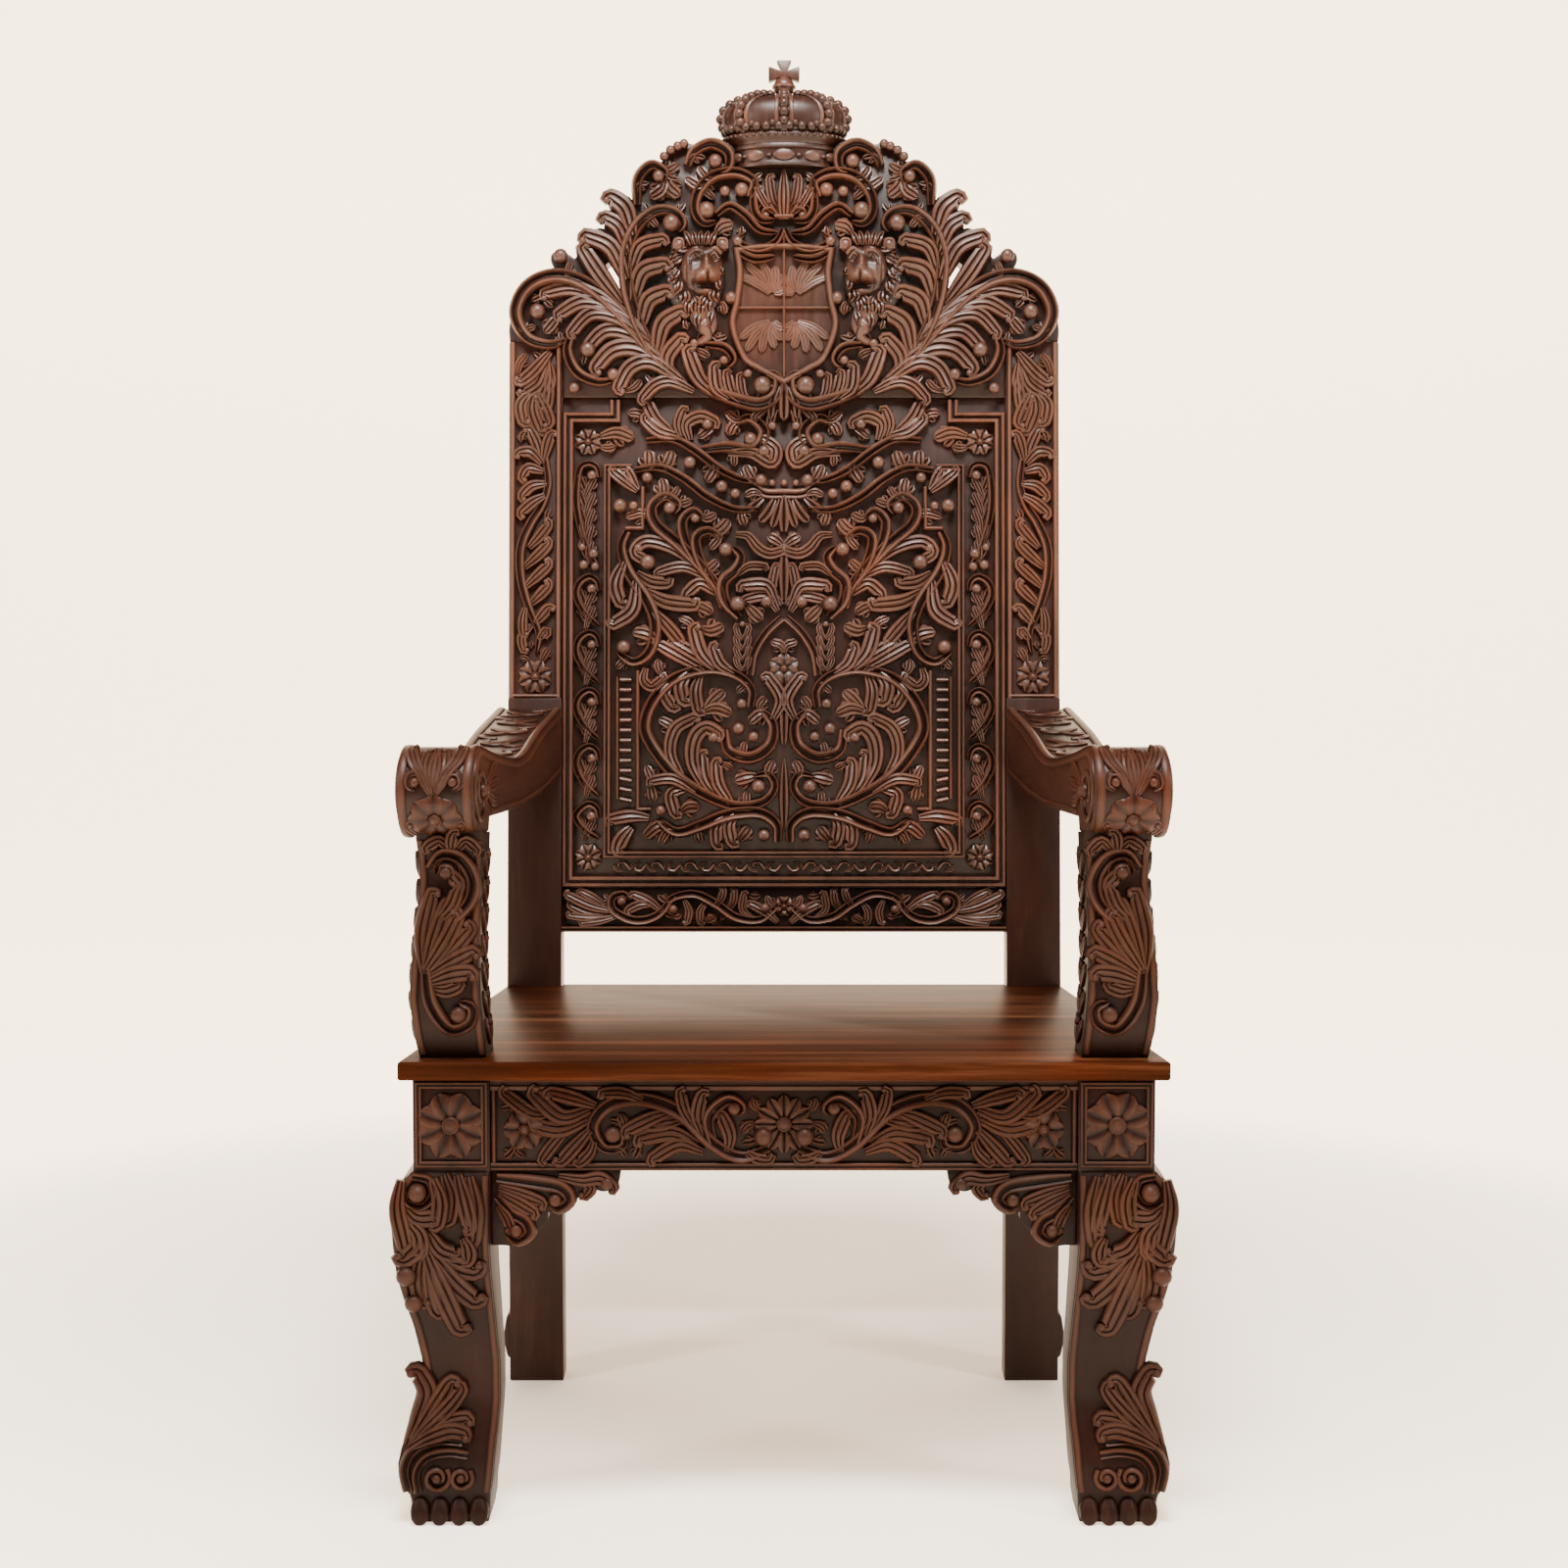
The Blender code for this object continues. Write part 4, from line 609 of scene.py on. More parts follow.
# The crest: scroll bands, leaves and knobs of the right half
CREST_LOBES = (
    ((343, 803), (344, 818), (342, 835), (338, 855), (325, 875), (305, 888), (285, 892)),
    ((285, 892), (292, 905), (290, 915), (280, 919), (270, 914), (262, 908)),
    ((262, 908), (254, 919), (249, 923), (243, 916), (238, 919)),
    ((238, 919), (248, 930), (249, 937), (243, 942), (235, 946), (230, 947), (221, 945)),
    ((221, 945), (221, 955), (222, 961), (217, 966)),
    ((217, 966), (220, 975), (221, 985), (214, 990), (205, 990), (199, 985)),
    ((199, 985), (195, 988), (190, 982), (184, 982)),
    ((184, 982), (184, 1000), (181, 1015), (172, 1027), (160, 1031), (150, 1029)),
    ((148, 1035), (143, 1047), (134, 1053), (125, 1057), (116, 1052)),
    ((116, 1052), (100, 1056), (88, 1058), (72, 1055), (63, 1048)),
)
CREST_HOLE = ((203, 868), (205, 885), (208, 895), (215, 907), (223, 900), (217, 884), (209, 874))
CREST_SCROLLS = (
    (9.5, (125, 748), (170, 795), (215, 848), (255, 878), (292, 884), (322, 869), (335, 838), (321, 808),
     (293, 799), (272, 805)),
    (9, (127, 750), (167, 795), (191, 850), (198, 905), (186, 944), (162, 966), (138, 966), (126, 952),
     (131, 940)),
    (7, (184, 974), (183, 1006), (166, 1024), (149, 1016), (149, 1004)),
    (7.5, (121, 1024), (112, 1042), (90, 1051), (70, 1040), (69, 1022), (80, 1015)),
    (7.5, (43, 984), (38, 1003), (59, 1014), (87, 1010), (106, 991), (111, 967), (100, 951), (85, 953)),
    (6, (85, 962), (68, 973), (48, 961), (31, 943), (9, 939)),
    (6, (38, 990), (37, 967), (28, 955), (12, 955)), (6, (60, 917), (37, 906), (11, 909)),
    (7, (264, 814), (270, 790), (258, 764), (233, 752), (212, 755)),
    (9, (100, 744), (60, 730), (31, 724), (11, 735), (8, 756), (24, 764)),
    (6, (98, 799), (74, 795), (63, 780), (72, 770)), (6, (103, 848), (97, 822), (107, 802)),
)
CREST_LEAVES = (
    (8, (150, 785), (210, 842), (258, 868), (296, 864)),
    (8, (172, 806), (214, 842), (250, 852), (279, 838)),
    (7.5, (165, 800), (205, 831), (240, 837), (264, 815)),
    (8, (150, 782), (190, 811), (222, 816), (243, 798)),
    (9, (140, 766), (180, 792), (212, 792), (233, 772)),
    (8, (130, 754), (165, 776), (191, 770), (205, 747)),
    (6.5, (112, 740), (140, 752), (160, 748), (176, 732)), (8.5, (202, 850), (229, 885), (249, 916)),
    (8.5, (197, 880), (216, 920), (244, 934)), (8, (193, 912), (205, 945), (221, 957)),
    (9, (189, 936), (198, 968), (213, 982)), (7.5, (191, 892), (180, 921), (154, 930)),
    (9, (188, 853), (178, 889), (153, 899)), (9, (178, 822), (170, 853), (150, 864)),
    (9, (160, 786), (152, 823), (132, 838)), (8, (143, 757), (146, 783), (131, 804)),
    (8, (88, 738), (107, 757), (119, 787)), (7, (69, 731), (84, 744), (87, 768)),
    (6, (54, 728), (66, 740), (71, 760)), (5, (43, 727), (52, 738), (55, 757)),
)
CREST_BALLS = (
    (308, 840, 10), (279, 910, 9), (141, 951, 11), (157, 1010, 8), (86, 1029, 9), (97, 967, 11),
    (53, 993, 9), (74, 991, 7), (58, 928, 7), (66, 857, 8), (75, 779, 6), (27, 747, 12), (45, 762, 6),
    (245, 792, 10), (213, 761, 8), (262, 744, 7), (112, 800, 6), (150, 1035, 6), (142, 1043, 6),
    (133, 1048, 6), (125, 1051, 6),
)
SHIELD = ((0, 922), (30, 921), (59, 917), (55, 888), (59, 852), (64, 822), (50, 783), (27, 767), (0, 752))


def crest_outline():
    half = []
    for lobe in CREST_LOBES:
        half += [tuple(p) for p in smooth_curve(lobe, 4.0)[:-1]]
    notch = 61.6
    half += [(notch, 1046), (notch, CREST_HEIGHT)]
    foot = [(BETWEEN_POSTS, 733.3), (BETWEEN_POSTS, POST_LENGTH + FIT)]
    right = foot + half
    return right + [(-x, s) for x, s in reversed(right)]


def cut_hole(item, hole, place, low, high):
    """Cuts a pierced opening right through a board."""
    for side in (1, -1):
        cutter = plank([(side * x, s) for x, s in hole], low - 5, high + 5, place, bevel=0)
        modifier = item.modifiers.new("hole", "BOOLEAN")
        modifier.operation = "DIFFERENCE"
        modifier.object = cutter
        modifier.solver = "EXACT"
        bpy.context.view_layer.objects.active = item
        bpy.ops.object.modifier_apply(modifier="hole")
        bpy.data.objects.remove(cutter)


def bumps(x, s, rows):
    """Sum of soft hills: middle, spread across and along, and height."""
    total = np.zeros_like(x)
    for cx, cs, wide, tall, high in rows:
        total += high * np.exp(-(((x - cx) / wide) ** 2 + ((s - cs) / tall) ** 2))
    return total


LION_FACE = (
    (86, 914, 7, 3.4, 5), (80, 910, 4, 3, 3), (109, 914, 8, 3.4, 5.5), (117, 910, 5, 3, 3),
    (97, 917, 2.8, 9, -2.5), (86.5, 906, 7, 5, -6), (110.5, 906, 7.6, 5, -6), (96, 901, 4.2, 11, 7),
    (87.5, 882, 8, 7.4, 9), (103, 881.5, 9, 7.6, 9), (94, 891, 6, 4, 6.5), (94.5, 880, 1.7, 8, -5.5),
    (94.5, 871, 13, 3.4, -12), (94.5, 862.5, 8, 5.4, 7), (117, 894, 1.5, 9, -3), (122, 886, 1.5, 10, -3),
    (112, 873, 1.5, 8, -3), (121, 889, 8, 13, 5), (79, 891, 4, 9, 2), (101, 928, 12, 6, 3),
)


def lion(relief):
    """A lion's head in the round, turned to the shield, with its mane, chest and foreleg."""
    for cx, cs, rx, rs, high in ((111, 880, 37, 47, 9), (103, 894, 27, 37, 21)):
        face = high > 10
        rings, segments = (30, 60) if face else (8, 40)
        radius = np.linspace(1, 0.02, rings)[:, None] ** 0.8
        angle = np.linspace(0, math.tau, segments, endpoint=False)[None, :]
        x = cx + rx * radius * np.cos(angle)
        s = cs + rs * radius * np.sin(angle)
        cut = bumps(x, s, LION_FACE) if face else 0 * x
        z = high * np.sqrt(np.clip(1 - radius ** 2.3, 0, 1)) + 4.6 + cut
        foot = np.stack((x[0], s[0], np.full(segments, FOOT)), axis=-1)
        # Painted shade and light: the face is darker in its dents, such as the eye sockets and the mouth, and
        # lighter on its bumps; the dome under the mane is painted dark as shade between the locks
        shade = np.clip(0.52 + cut * 0.055, 0.05, 1) if face else np.full(z.shape, 0.1)
        relief.tube(np.concatenate((foot[None], np.stack((x, s, z), axis=-1))),
                    np.vstack((np.full((1, segments), 0.1), shade)))
    for x, eyeball, pupil in ((87, 14.5, 19.6), (110, 15.5, 20.6)):
        relief.ball(x, 906, 4.3, eyeball, 12)
        # The pupils are painted nearly black: painted shade
        relief.turned(x - 0.6, 905.8, ((1.9, 0), (1.6, 1.2), (0.1, 1.5)), 8, pupil, tone=0.02)
        relief.cord(((x - 9, 911, 14), (x - 1, 917, 19.5), (x + 9, 911, 14)), 3.2, 5, 2.0)
        relief.cord(((x - 6, 904, 17), (x, 911, 19), (x + 7, 904, 16)), 1.9, 3.5, 2.0)
        relief.cord(((x - 5.5, 903, 16), (x, 900.5, 17), (x + 6, 903, 15)), 1.4, 2.6, 2.0)
    nose = ((6.2, 0), (5.8, 2.8), (3.4, 4.4), (0.1, 4.8))
    relief.turned(94, 892.5, nose, 12, lift=27, stretch=0.62, tone=0.3)
    for x in (77, 131):
        relief.ball(x, 923, 8.5, 6, 12)
        relief.cord(((x - 6, 918, 12), (x - 5, 929, 12), (x + 5, 929, 12), (x + 6, 918, 12)), 2.4, 4, 2.5)
    rows = ((1.28, 1.62, 14, 6.2, 3, (112, -128)), (1.1, 1.44, 13, 6.0, 7, (100, -150)),
            (0.98, 1.26, 13, 5.4, 12, (150, -200)))
    for inner, outer, count, half, lift, (first, last) in rows:
        for i in range(count):
            angle = math.radians(first + (last - first) * (i + 0.5 * (lift > 5)) / count)
            way = np.array((math.cos(angle), math.sin(angle)))
            swing = np.array((way[1], -way[0])) * (4 if way[0] > 0 else -4)
            root = np.array((106, 890)) + way * (26, 34) * inner
            tip = np.array((107, 888)) + way * (26, 33) * outer + swing * 0.8 + (0, -3)
            middle = (root + tip) / 2 + swing
            lock = ((*root, lift), (*middle, lift + 1), (*tip, lift - 4))
            relief.stroke(lock, half, 7, LEAF, point_width, 3.0)
    for x in (88, 96, 104, 112, 120):
        tuft = ((103 + (x - 103) * 0.7, 921, 19), (x, 932, 17), (x + (x - 104) * 0.3, 941, 9))
        relief.stroke(tuft, 4.6, 7, LEAF, point_width, 2.5)
    relief.stroke(((108, 862, 3), (102, 836, 2), (90, 812, 0)), 16, 12, CORD, stem_width, 4.0)
    for x, s, reach in ((92, 855, 20), (110, 855, 22), (101, 851, 22), (118, 853, 18), (90, 839, 18),
                        (106, 837, 20), (98, 829, 16)):
        lock = ((x, s, 9), (x + 3, s - 10, 11), (x + 1, s - reach, 6))
        relief.stroke(lock, 5.6, 7, LEAF, point_width, 3.0)
    relief.stroke(((90, 836, 5), (100, 822, 8), (96, 808, 6), (108, 800, 3)), 7.5, 9, CORD, stem_width, 3.0)
    for x, s in ((104, 803), (109, 800), (112, 795)):
        relief.ball(x, s, 3.8, 6, 8)
    relief.keep(109, 884, 45)
    relief.keep(98, 826, 18)


def shield(relief):
    """The quartered shield with a raised rim and shallow leaves."""
    half = smooth_curve(SHIELD[2:], 4.0)
    top = smooth_curve(SHIELD[:3], 6.0)
    right = [tuple(p) for p in top] + [tuple(p) for p in half[1:]]
    around = right + [(-x, s) for x, s in reversed(right[1:-1])]
    relief.moulding(around, 5.0, 13, CORD, closed=True, sides=(1,))
    field = plank([(x * 0.96, 845 + (s - 845) * 0.97) for x, s in around], -10, -3, on_back, 0.55, 0)
    for side in (1, -1):
        for cs, up in ((880, 1), (812, -1)):
            root = np.array((9 * side, cs - 24 * up))
            for turn, reach in ((-58, 16), (-30, 26), (-6, 33), (18, 40), (40, 48), (60, 44)):
                angle = math.radians(90 - turn) * up
                way = np.array((math.cos(angle) * side, math.sin(angle)))
                start = root + way * 3 + (6 * side, 6 * up)
                tip = start + way * reach
                bow = (start + tip) / 2 + np.array((-way[1] * side, way[0] * side)) * 3
                relief.stroke((start, bow, tip), 6.5, 3.2, step=3.5, lift=3.4, sides=(1,))
    relief.moulding(((0, 758), (0, 940)), 2.4, 8.5, CORD, sides=(1,))
    relief.moulding(((-57, 845), (57, 845)), 2.4, 8, CORD, sides=(1,))
    relief.stems(((5.5, (1, 944), (10, 927), (30, 918), (50, 922), (57, 932), (49, 938)),), 15)
    for s in range(790, 930, 20):
        relief.keep(26, s, 38)
    return field


def make_crest():
    board = plank(crest_outline(), CREST_REAR, CREST_FACE, on_back, 0.3, 1.5)
    cut_hole(board, CREST_HOLE, on_back, CREST_REAR, CREST_FACE)
    relief = Relief(raised(on_back, CREST_FACE))
    relief.leaves(CREST_LEAVES, 1.5, 13)
    relief.stems(CREST_SCROLLS, 16)
    relief.balls(CREST_BALLS, 5)
    relief.stroke(((0, 956, 2), (0, 985, 4), (0, 1020, 0)), 9, 11, FROND, point_width, sides=(1,))
    relief.leaves(((6.5, (5, 962), (15, 984), (18, 1006)), (5.5, (8, 962), (22, 974), (32, 992))), 1.2, 9)
    relief.stems(((5, (3, 957), (14, 972), (27, 970), (29, 958), (21, 955)),), 12)
    relief.ball(23, 961, 5, 4)
    relief.moulding(((-12, 960), (12, 960)), 4, 11, CORD, sides=(1,))
    relief.stroke(((0, 756), (0, 730), (0, 704)), 8, 13, LEAF, leaf_width, sides=(1,))
    relief.strokes(((6, (5, 750), (14, 730), (17, 706)), (6, (8, 754), (25, 741), (37, 720))), rise=11,
                   section=LEAF)
    lion(relief)
    field = shield(relief)
    rim = [p for p in crest_outline() if p[0] > 0]
    relief.fill([(1, 738), (272, 738), (272, 800), *rim[2:], (1, 1020)], 5.5, 12, 10)
    dress(relief.finish("crest_carving", board, field), "crest", carved_wood)


# The back panel
PANEL_STEMS = (
    (6, (172, 680), (140, 682), (112, 668), (80, 644), (52, 631), (30, 630)),
    (6, (186, 643), (155, 646), (125, 632), (95, 609), (62, 594), (30, 594)),
    (8, (76, 470), (86, 500), (128, 546), (160, 574), (165, 597), (148, 610), (132, 600), (137, 588)),
    (7, (102, 516), (122, 550), (127, 578), (113, 592), (101, 583)),
    (7, (86, 492), (106, 532), (110, 558), (94, 567), (76, 556)),
    (8, (56, 458), (74, 478), (76, 502), (60, 518), (54, 534), (64, 546)),
    (8, (196, 566), (203, 545), (194, 515), (170, 478), (160, 446), (168, 414), (188, 402), (208, 414)),
    (8, (42, 346), (41, 368), (60, 386), (95, 393), (135, 382), (160, 358), (173, 328), (168, 304),
     (138, 264), (100, 238), (60, 223), (26, 228), (12, 246), (20, 262), (38, 260)),
    (8, (74, 318), (69, 292), (42, 283), (18, 298), (14, 324), (28, 342)),
    (8, (8, 178), (10, 200), (32, 214), (70, 211), (104, 198), (134, 190), (158, 206)),
    (8, (105, 668), (70, 672), (38, 668), (25, 690), (42, 708), (60, 702)),
)
PANEL_LEAVES = (
    (7, (118, 680), (122, 700), (105, 710), (88, 704)), (6, (128, 684), (132, 700), (127, 716)),
    (7, (130, 684), (155, 690), (172, 704)), (7, (140, 690), (160, 706), (171, 727)),
    (7, (70, 664), (40, 664), (16, 652), (10, 668), (24, 680)), (5, (8, 727), (24, 720), (36, 709)),
    (5, (5, 727), (13, 716), (17, 702)), (7, (104, 520), (140, 545), (172, 553), (186, 540), (174, 530)),
    (6, (96, 508), (125, 521), (155, 515)), (7, (84, 488), (104, 500), (120, 489)),
    (5, (58, 512), (44, 522), (25, 522)), (7, (10, 478), (22, 498), (50, 498)),
    (6, (8, 466), (22, 484), (46, 481)), (8, (200, 528), (210, 500), (205, 480)),
    (8, (184, 504), (188, 468), (210, 451)), (7, (184, 514), (166, 503), (148, 501)),
    (8, (174, 492), (148, 478), (116, 474)), (7, (162, 466), (146, 448), (131, 430)),
    (7, (98, 392), (128, 408), (156, 424)), (7, (90, 396), (112, 412), (136, 426)),
    (8, (86, 394), (104, 414), (112, 440)), (7, (62, 388), (80, 400), (88, 418)),
    (7, (142, 374), (148, 362), (140, 348)), (8, (118, 388), (128, 374), (126, 358)),
    (7, (104, 388), (110, 366), (107, 344)), (7, (126, 256), (142, 288), (136, 318), (114, 332)),
    (8, (98, 244), (114, 276), (112, 306), (98, 320), (83, 314)), (7, (80, 232), (98, 256), (102, 284)),
    (7, (66, 226), (82, 250), (85, 274)), (6, (110, 240), (138, 256), (164, 254)),
    (7, (118, 246), (140, 238), (136, 216)), (7, (74, 208), (84, 196), (84, 178)),
    (7, (60, 212), (68, 198), (65, 180)), (7, (14, 330), (4, 356), (19, 382)),
    (7, (168, 208), (190, 210), (214, 206)), (8, (190, 196), (200, 184), (206, 172)),
    (6, (60, 562), (45, 560), (32, 545), (18, 538), (2, 542)),
    (6, (172, 395), (175, 380), (165, 372), (152, 381)), (6, (183, 616), (196, 626), (213, 640)),
    (6, (183, 618), (190, 630), (197, 642)),
)
PANEL_BALLS = (
    (29, 630, 8), (118, 652, 8), (78, 622, 8), (61, 613, 7), (42, 681, 9), (25, 666, 8), (15, 698, 6),
    (171, 633, 7), (205, 598, 9), (188, 598, 6), (143, 595, 8), (111, 582, 6), (73, 543, 9), (170, 527, 10),
    (58, 475, 10), (22, 478, 8), (200, 421, 9), (53, 350, 7), (57, 319, 8), (38, 309, 7), (88, 308, 7),
    (32, 247, 9), (25, 186, 8), (154, 217, 7), (96, 700, 7), (182, 545, 6),
)


def make_panel():
    """The board between the posts: stepped frames, leafy border and scrolling leaves on a sunk ground."""
    board = plank(box(-BETWEEN_POSTS, BETWEEN_POSTS, 120.75, 733.2), -34, PANEL_FACE, on_back, 0.34, 0.3)
    relief = Relief(raised(on_back, PANEL_FACE))
    relief.moulding(((0, 128.5), (269.5, 128.5), (269.5, 708.5), (211, 708.5), (211, 730)), 6.6, 13)
    relief.moulding(((0, 162), (221, 162), (221, 646), (190, 646)), 4.4, 11)
    relief.moulding(((182.5, 392), (182.5, 219), (166, 219)), 3.2, 10, CORD)
    relief.moulding(((176.5, 622), (176.5, 570), (198, 570)), 3.2, 9, CORD)
    relief.moulding(((208, 384), (208, 232)), 2.2, 8, CORD)
    relief.leaves(PANEL_LEAVES, 1.45, 12)
    relief.stems(PANEL_STEMS, 15)
    relief.balls(PANEL_BALLS, 5)
    for x, s in ((245, 679), (244, 159)):
        relief.flower(x, s, 17, turn=math.pi / 8)
    relief.flower(0, 395, 19, 6, turn=math.pi / 6)
    relief.keep(0, 395, 22)
    relief.stroke(((2, 458), (22, 439), (37, 414), (42, 386)), 6, 10, BAND, even_width)
    relief.leaves(((6, (3, 474), (15, 492), (11, 520)),), 1.3, 9)
    for s in (392, 405, 418, 431):
        buds = [(4, (52, s), (52 + 6 * turn, s + 7), (52 + 8 * turn, s + 15)) for turn in (-1, 1)]
        relief.leaves(buds, 1.3, 8)
    relief.ball(52, 450, 4, 4, 10)
    for low, high, half in ((566, 612, 9), (480, 556, 8), (300, 372, 7), (196, 284, 7)):
        relief.stroke(((0, low), (0, (low + high) / 2), (0, high)), half, 9, LEAF, point_width, sides=(1,))
    for i in range(13):
        s = 229 + 12.6 * i
        relief.moulding(((190.5, s), (204.5, s + (3 if i < 3 else 0))), 3.6, 7, CORD)
    for i in range(10):
        x = 14 + 21 * i
        up = 1 if i % 2 else -1
        scroll = [(x + dx, 147 + ds * up) for dx, ds in ((-11, -4), (-4, 5), (4, 3), (2, -1))]
        relief.stroke(scroll, 2.6, 5, CORD, stem_width, 3.0)
        leaf = [(x + dx, 147 + ds * up) for dx, ds in ((-2, -5), (5, -4), (10, 3))]
        relief.stroke(leaf, 2.8, 4.5, LEAF, step=3.0)
    for i in range(4):
        relief.ball(5.5 + 9.5 * i if i else 0, 627, 4.6, 2, 10)
    relief.cord(((0, 617), (22, 617), (34, 626)), 4, 8)
    relief.cord(((0, 609), (24, 610), (38, 620)), 3, 6)
    relief.strokes(((8, (12, 606), (20, 590), (31, 578)), (7, (4, 606), (10, 585), (15, 571)),
                    (7, (26, 608), (38, 598), (48, 592))), rise=9, section=LEAF)
    border(relief)
    relief.fill(((1, 168), (216, 168), (216, 640), (186, 642), (186, 662), (230, 662), (230, 698), (203, 700),
                 (203, 726), (1, 726)), 8, 12, 9.5)
    relief.fill(((226, 174), (262, 174), (262, 662), (226, 662)), 6.5, 9, 7, 40)
    dress(relief.finish("panel_carving", board), "back_panel", carved_wood)


def border(relief):
    """The upright leaf border between the outer and inner frames."""
    tops = (650, 508, 438, 366, 296, 224)
    for i, top in enumerate(tops):
        low = tops[i + 1] + 10 if i + 1 < len(tops) else 182
        drop = top - low
        for k in range(3 if i else 5):
            at = top - 22 - 20 * k
            if at - 12 < low - 8:
                break
            relief.lobed((250 - 2 * k, at - 22), (244, at - 8), (236 + k, at + 8), 7, 7.5)
            relief.lobed((246, at - 16), (251, at - 4), (257 - k, at + 12), 6, 7)
        relief.stems(((5, (231, top - 16), (234, top - 4), (244, top + 1), (256, top - 8),
                       (259, top - drop * 0.4), (248, top - drop * 0.75), (231, low)),), 11)
        relief.ball(240, top - 14, 6.5, 4)
    for x, s, radius in ((238, 538, 7), (250, 524, 6.5), (236, 522, 6), (252, 546, 5.5)):
        relief.ball(x, s, radius, 3)


RAIL_STEMS = (
    (6, (8, 98), (30, 81), (60, 84), (84, 100), (112, 113), (140, 107), (148, 92), (137, 84)),
    (6, (136, 111), (158, 86), (186, 80), (212, 92), (214, 108), (200, 114), (192, 106)),
)
RAIL_LEAVES = (
    (6, (8, 78), (22, 90), (40, 100)), (5, (40, 84), (52, 94), (50, 112)),
    (5, (86, 98), (78, 108), (76, 117)), (5, (72, 92), (64, 102), (62, 116)),
    (5, (96, 104), (104, 92), (104, 80)), (5, (124, 106), (118, 92), (120, 80)),
    (6, (152, 92), (168, 104), (186, 112)), (6, (162, 100), (178, 100), (192, 94)),
    (6, (214, 92), (240, 98), (268, 111)), (6, (222, 90), (245, 90), (264, 98)),
    (5, (220, 86), (244, 84), (266, 86)), (5, (206, 86), (228, 80), (250, 77)),
    (5, (222, 98), (236, 108), (252, 116)),
)


def make_rail():
    board = plank(box(-BETWEEN_POSTS, BETWEEN_POSTS, 66, 120.7), -34, RAIL_FACE, on_back, 0.3, 0.3)
    relief = Relief(raised(on_back, RAIL_FACE))
    relief.moulding(((-BETWEEN_POSTS, 69.5), (BETWEEN_POSTS, 69.5)), 3.4, 11, sides=(1,))
    relief.leaves(RAIL_LEAVES, 1.25, 8)
    relief.stems(RAIL_STEMS, 10)
    relief.balls(((24, 95, 7), (138, 94, 6), (202, 104, 6)), 2)
    relief.flower(0, 98, 13, 6)
    relief.fill(((2, 74), (273, 74), (273, 119), (2, 119)), 4.5, 8, 7, 60)
    dress(relief.finish("rail_carving", board), "back_rail", rail_wood)


POST_VINE = (
    (6, (-12, 658), (-16, 625), (-8, 598), (6, 575), (18, 545), (18, 508), (8, 470), (-4, 440), (-2, 414)),
)
POST_LEAVES = (
    (7, (8, 545), (-6, 560), (-15, 572)), (7, (14, 520), (-4, 536), (-15, 548)),
    (7, (12, 496), (-5, 512), (-15, 522)), (7, (6, 474), (-8, 488), (-15, 496)),
    (7, (0, 450), (-10, 462), (-15, 468)), (7, (-12, 610), (2, 602), (16, 590)),
    (7, (-14, 625), (4, 622), (15, 612)), (7, (-10, 640), (8, 644), (15, 636)),
    (7, (-8, 650), (6, 664), (18, 664)), (7, (-8, 650), (-2, 672), (6, 690)),
    (7, (-10, 654), (-14, 672), (-18, 684)), (6, (12, 470), (15, 456), (15, 440)),
    (6, (4, 448), (16, 434), (15, 420)), (6, (-4, 430), (-14, 442), (-15, 440)),
    (8, (-2, 738), (-12, 718), (-17, 704)), (8, (2, 738), (4, 716), (-4, 694)),
    (8, (6, 740), (18, 724), (16, 706)), (8, (-18, 790), (2, 766), (16, 754)),
    (8, (-15, 784), (-6, 752), (12, 738)), (8, (-17, 776), (-18, 752), (-8, 734)),
    (7, (-17, 760), (-17, 740), (-15, 722)),
)
POST_ROLL = ((342, 26), (347, 31), (350.5, 46), (351, 62), (348, 80), (342, 90))


def make_post(side):
    """A rear leg that runs up as a carved stile."""
    name = sided("post", side)
    rise = np.array((math.sin(RAKE), math.cos(RAKE)))
    rear = np.array((math.cos(RAKE), -math.sin(RAKE))) * POST_DEPTH
    hinge = np.array((HINGE, SEAT_HEIGHT))
    bend = hinge + (POST_DEPTH, -POST_DEPTH * math.tan(RAKE / 2))
    field = hinge + rise * 357
    sunk = np.array((math.cos(RAKE), -math.sin(RAKE))) * 6
    top = hinge + rise * POST_LENGTH
    outline = [(HINGE, 0), (HINGE + POST_DEPTH, 0), tuple(bend), tuple(top + rear), tuple(top + sunk),
               tuple(field + sunk), tuple(field), tuple(hinge)]
    low, high = sorted((side * POST_INNER, side * HALF_BACK))
    body = plank(outline, low, high, lambda p: p[:, (2, 0, 1)] * MM, 0.45, 1.5)
    middle = HALF_BACK - POST_WIDTH / 2
    relief = Relief(raised(on_back, POST_FACE, side * middle), (side,))
    for x in (28.6, -28.6):
        relief.moulding(((x, 802), (x, 357)), 3.7, 6.2, CORD)
    relief.moulding(((-30, 360), (30, 360)), 3.2, 6.2, CORD)
    relief.leaves(POST_LEAVES, 1.25, 7.5)
    relief.stems(POST_VINE, 8.5)
    relief.flower(0, 384, 21, turn=math.pi / 8)
    relief.fill(((-25, 362), (25, 362), (25, 799), (-25, 799)), 4.5, 8, 6.5, 70)
    roll = plank([(side * x, z) for x, z in POST_ROLL], HINGE + 4, HINGE + 48, lambda p: p[:, (0, 2, 1)] * MM,
                 0.4, 1.5)
    dress(relief.finish(name + "_carving", body, roll), name, post_wood)


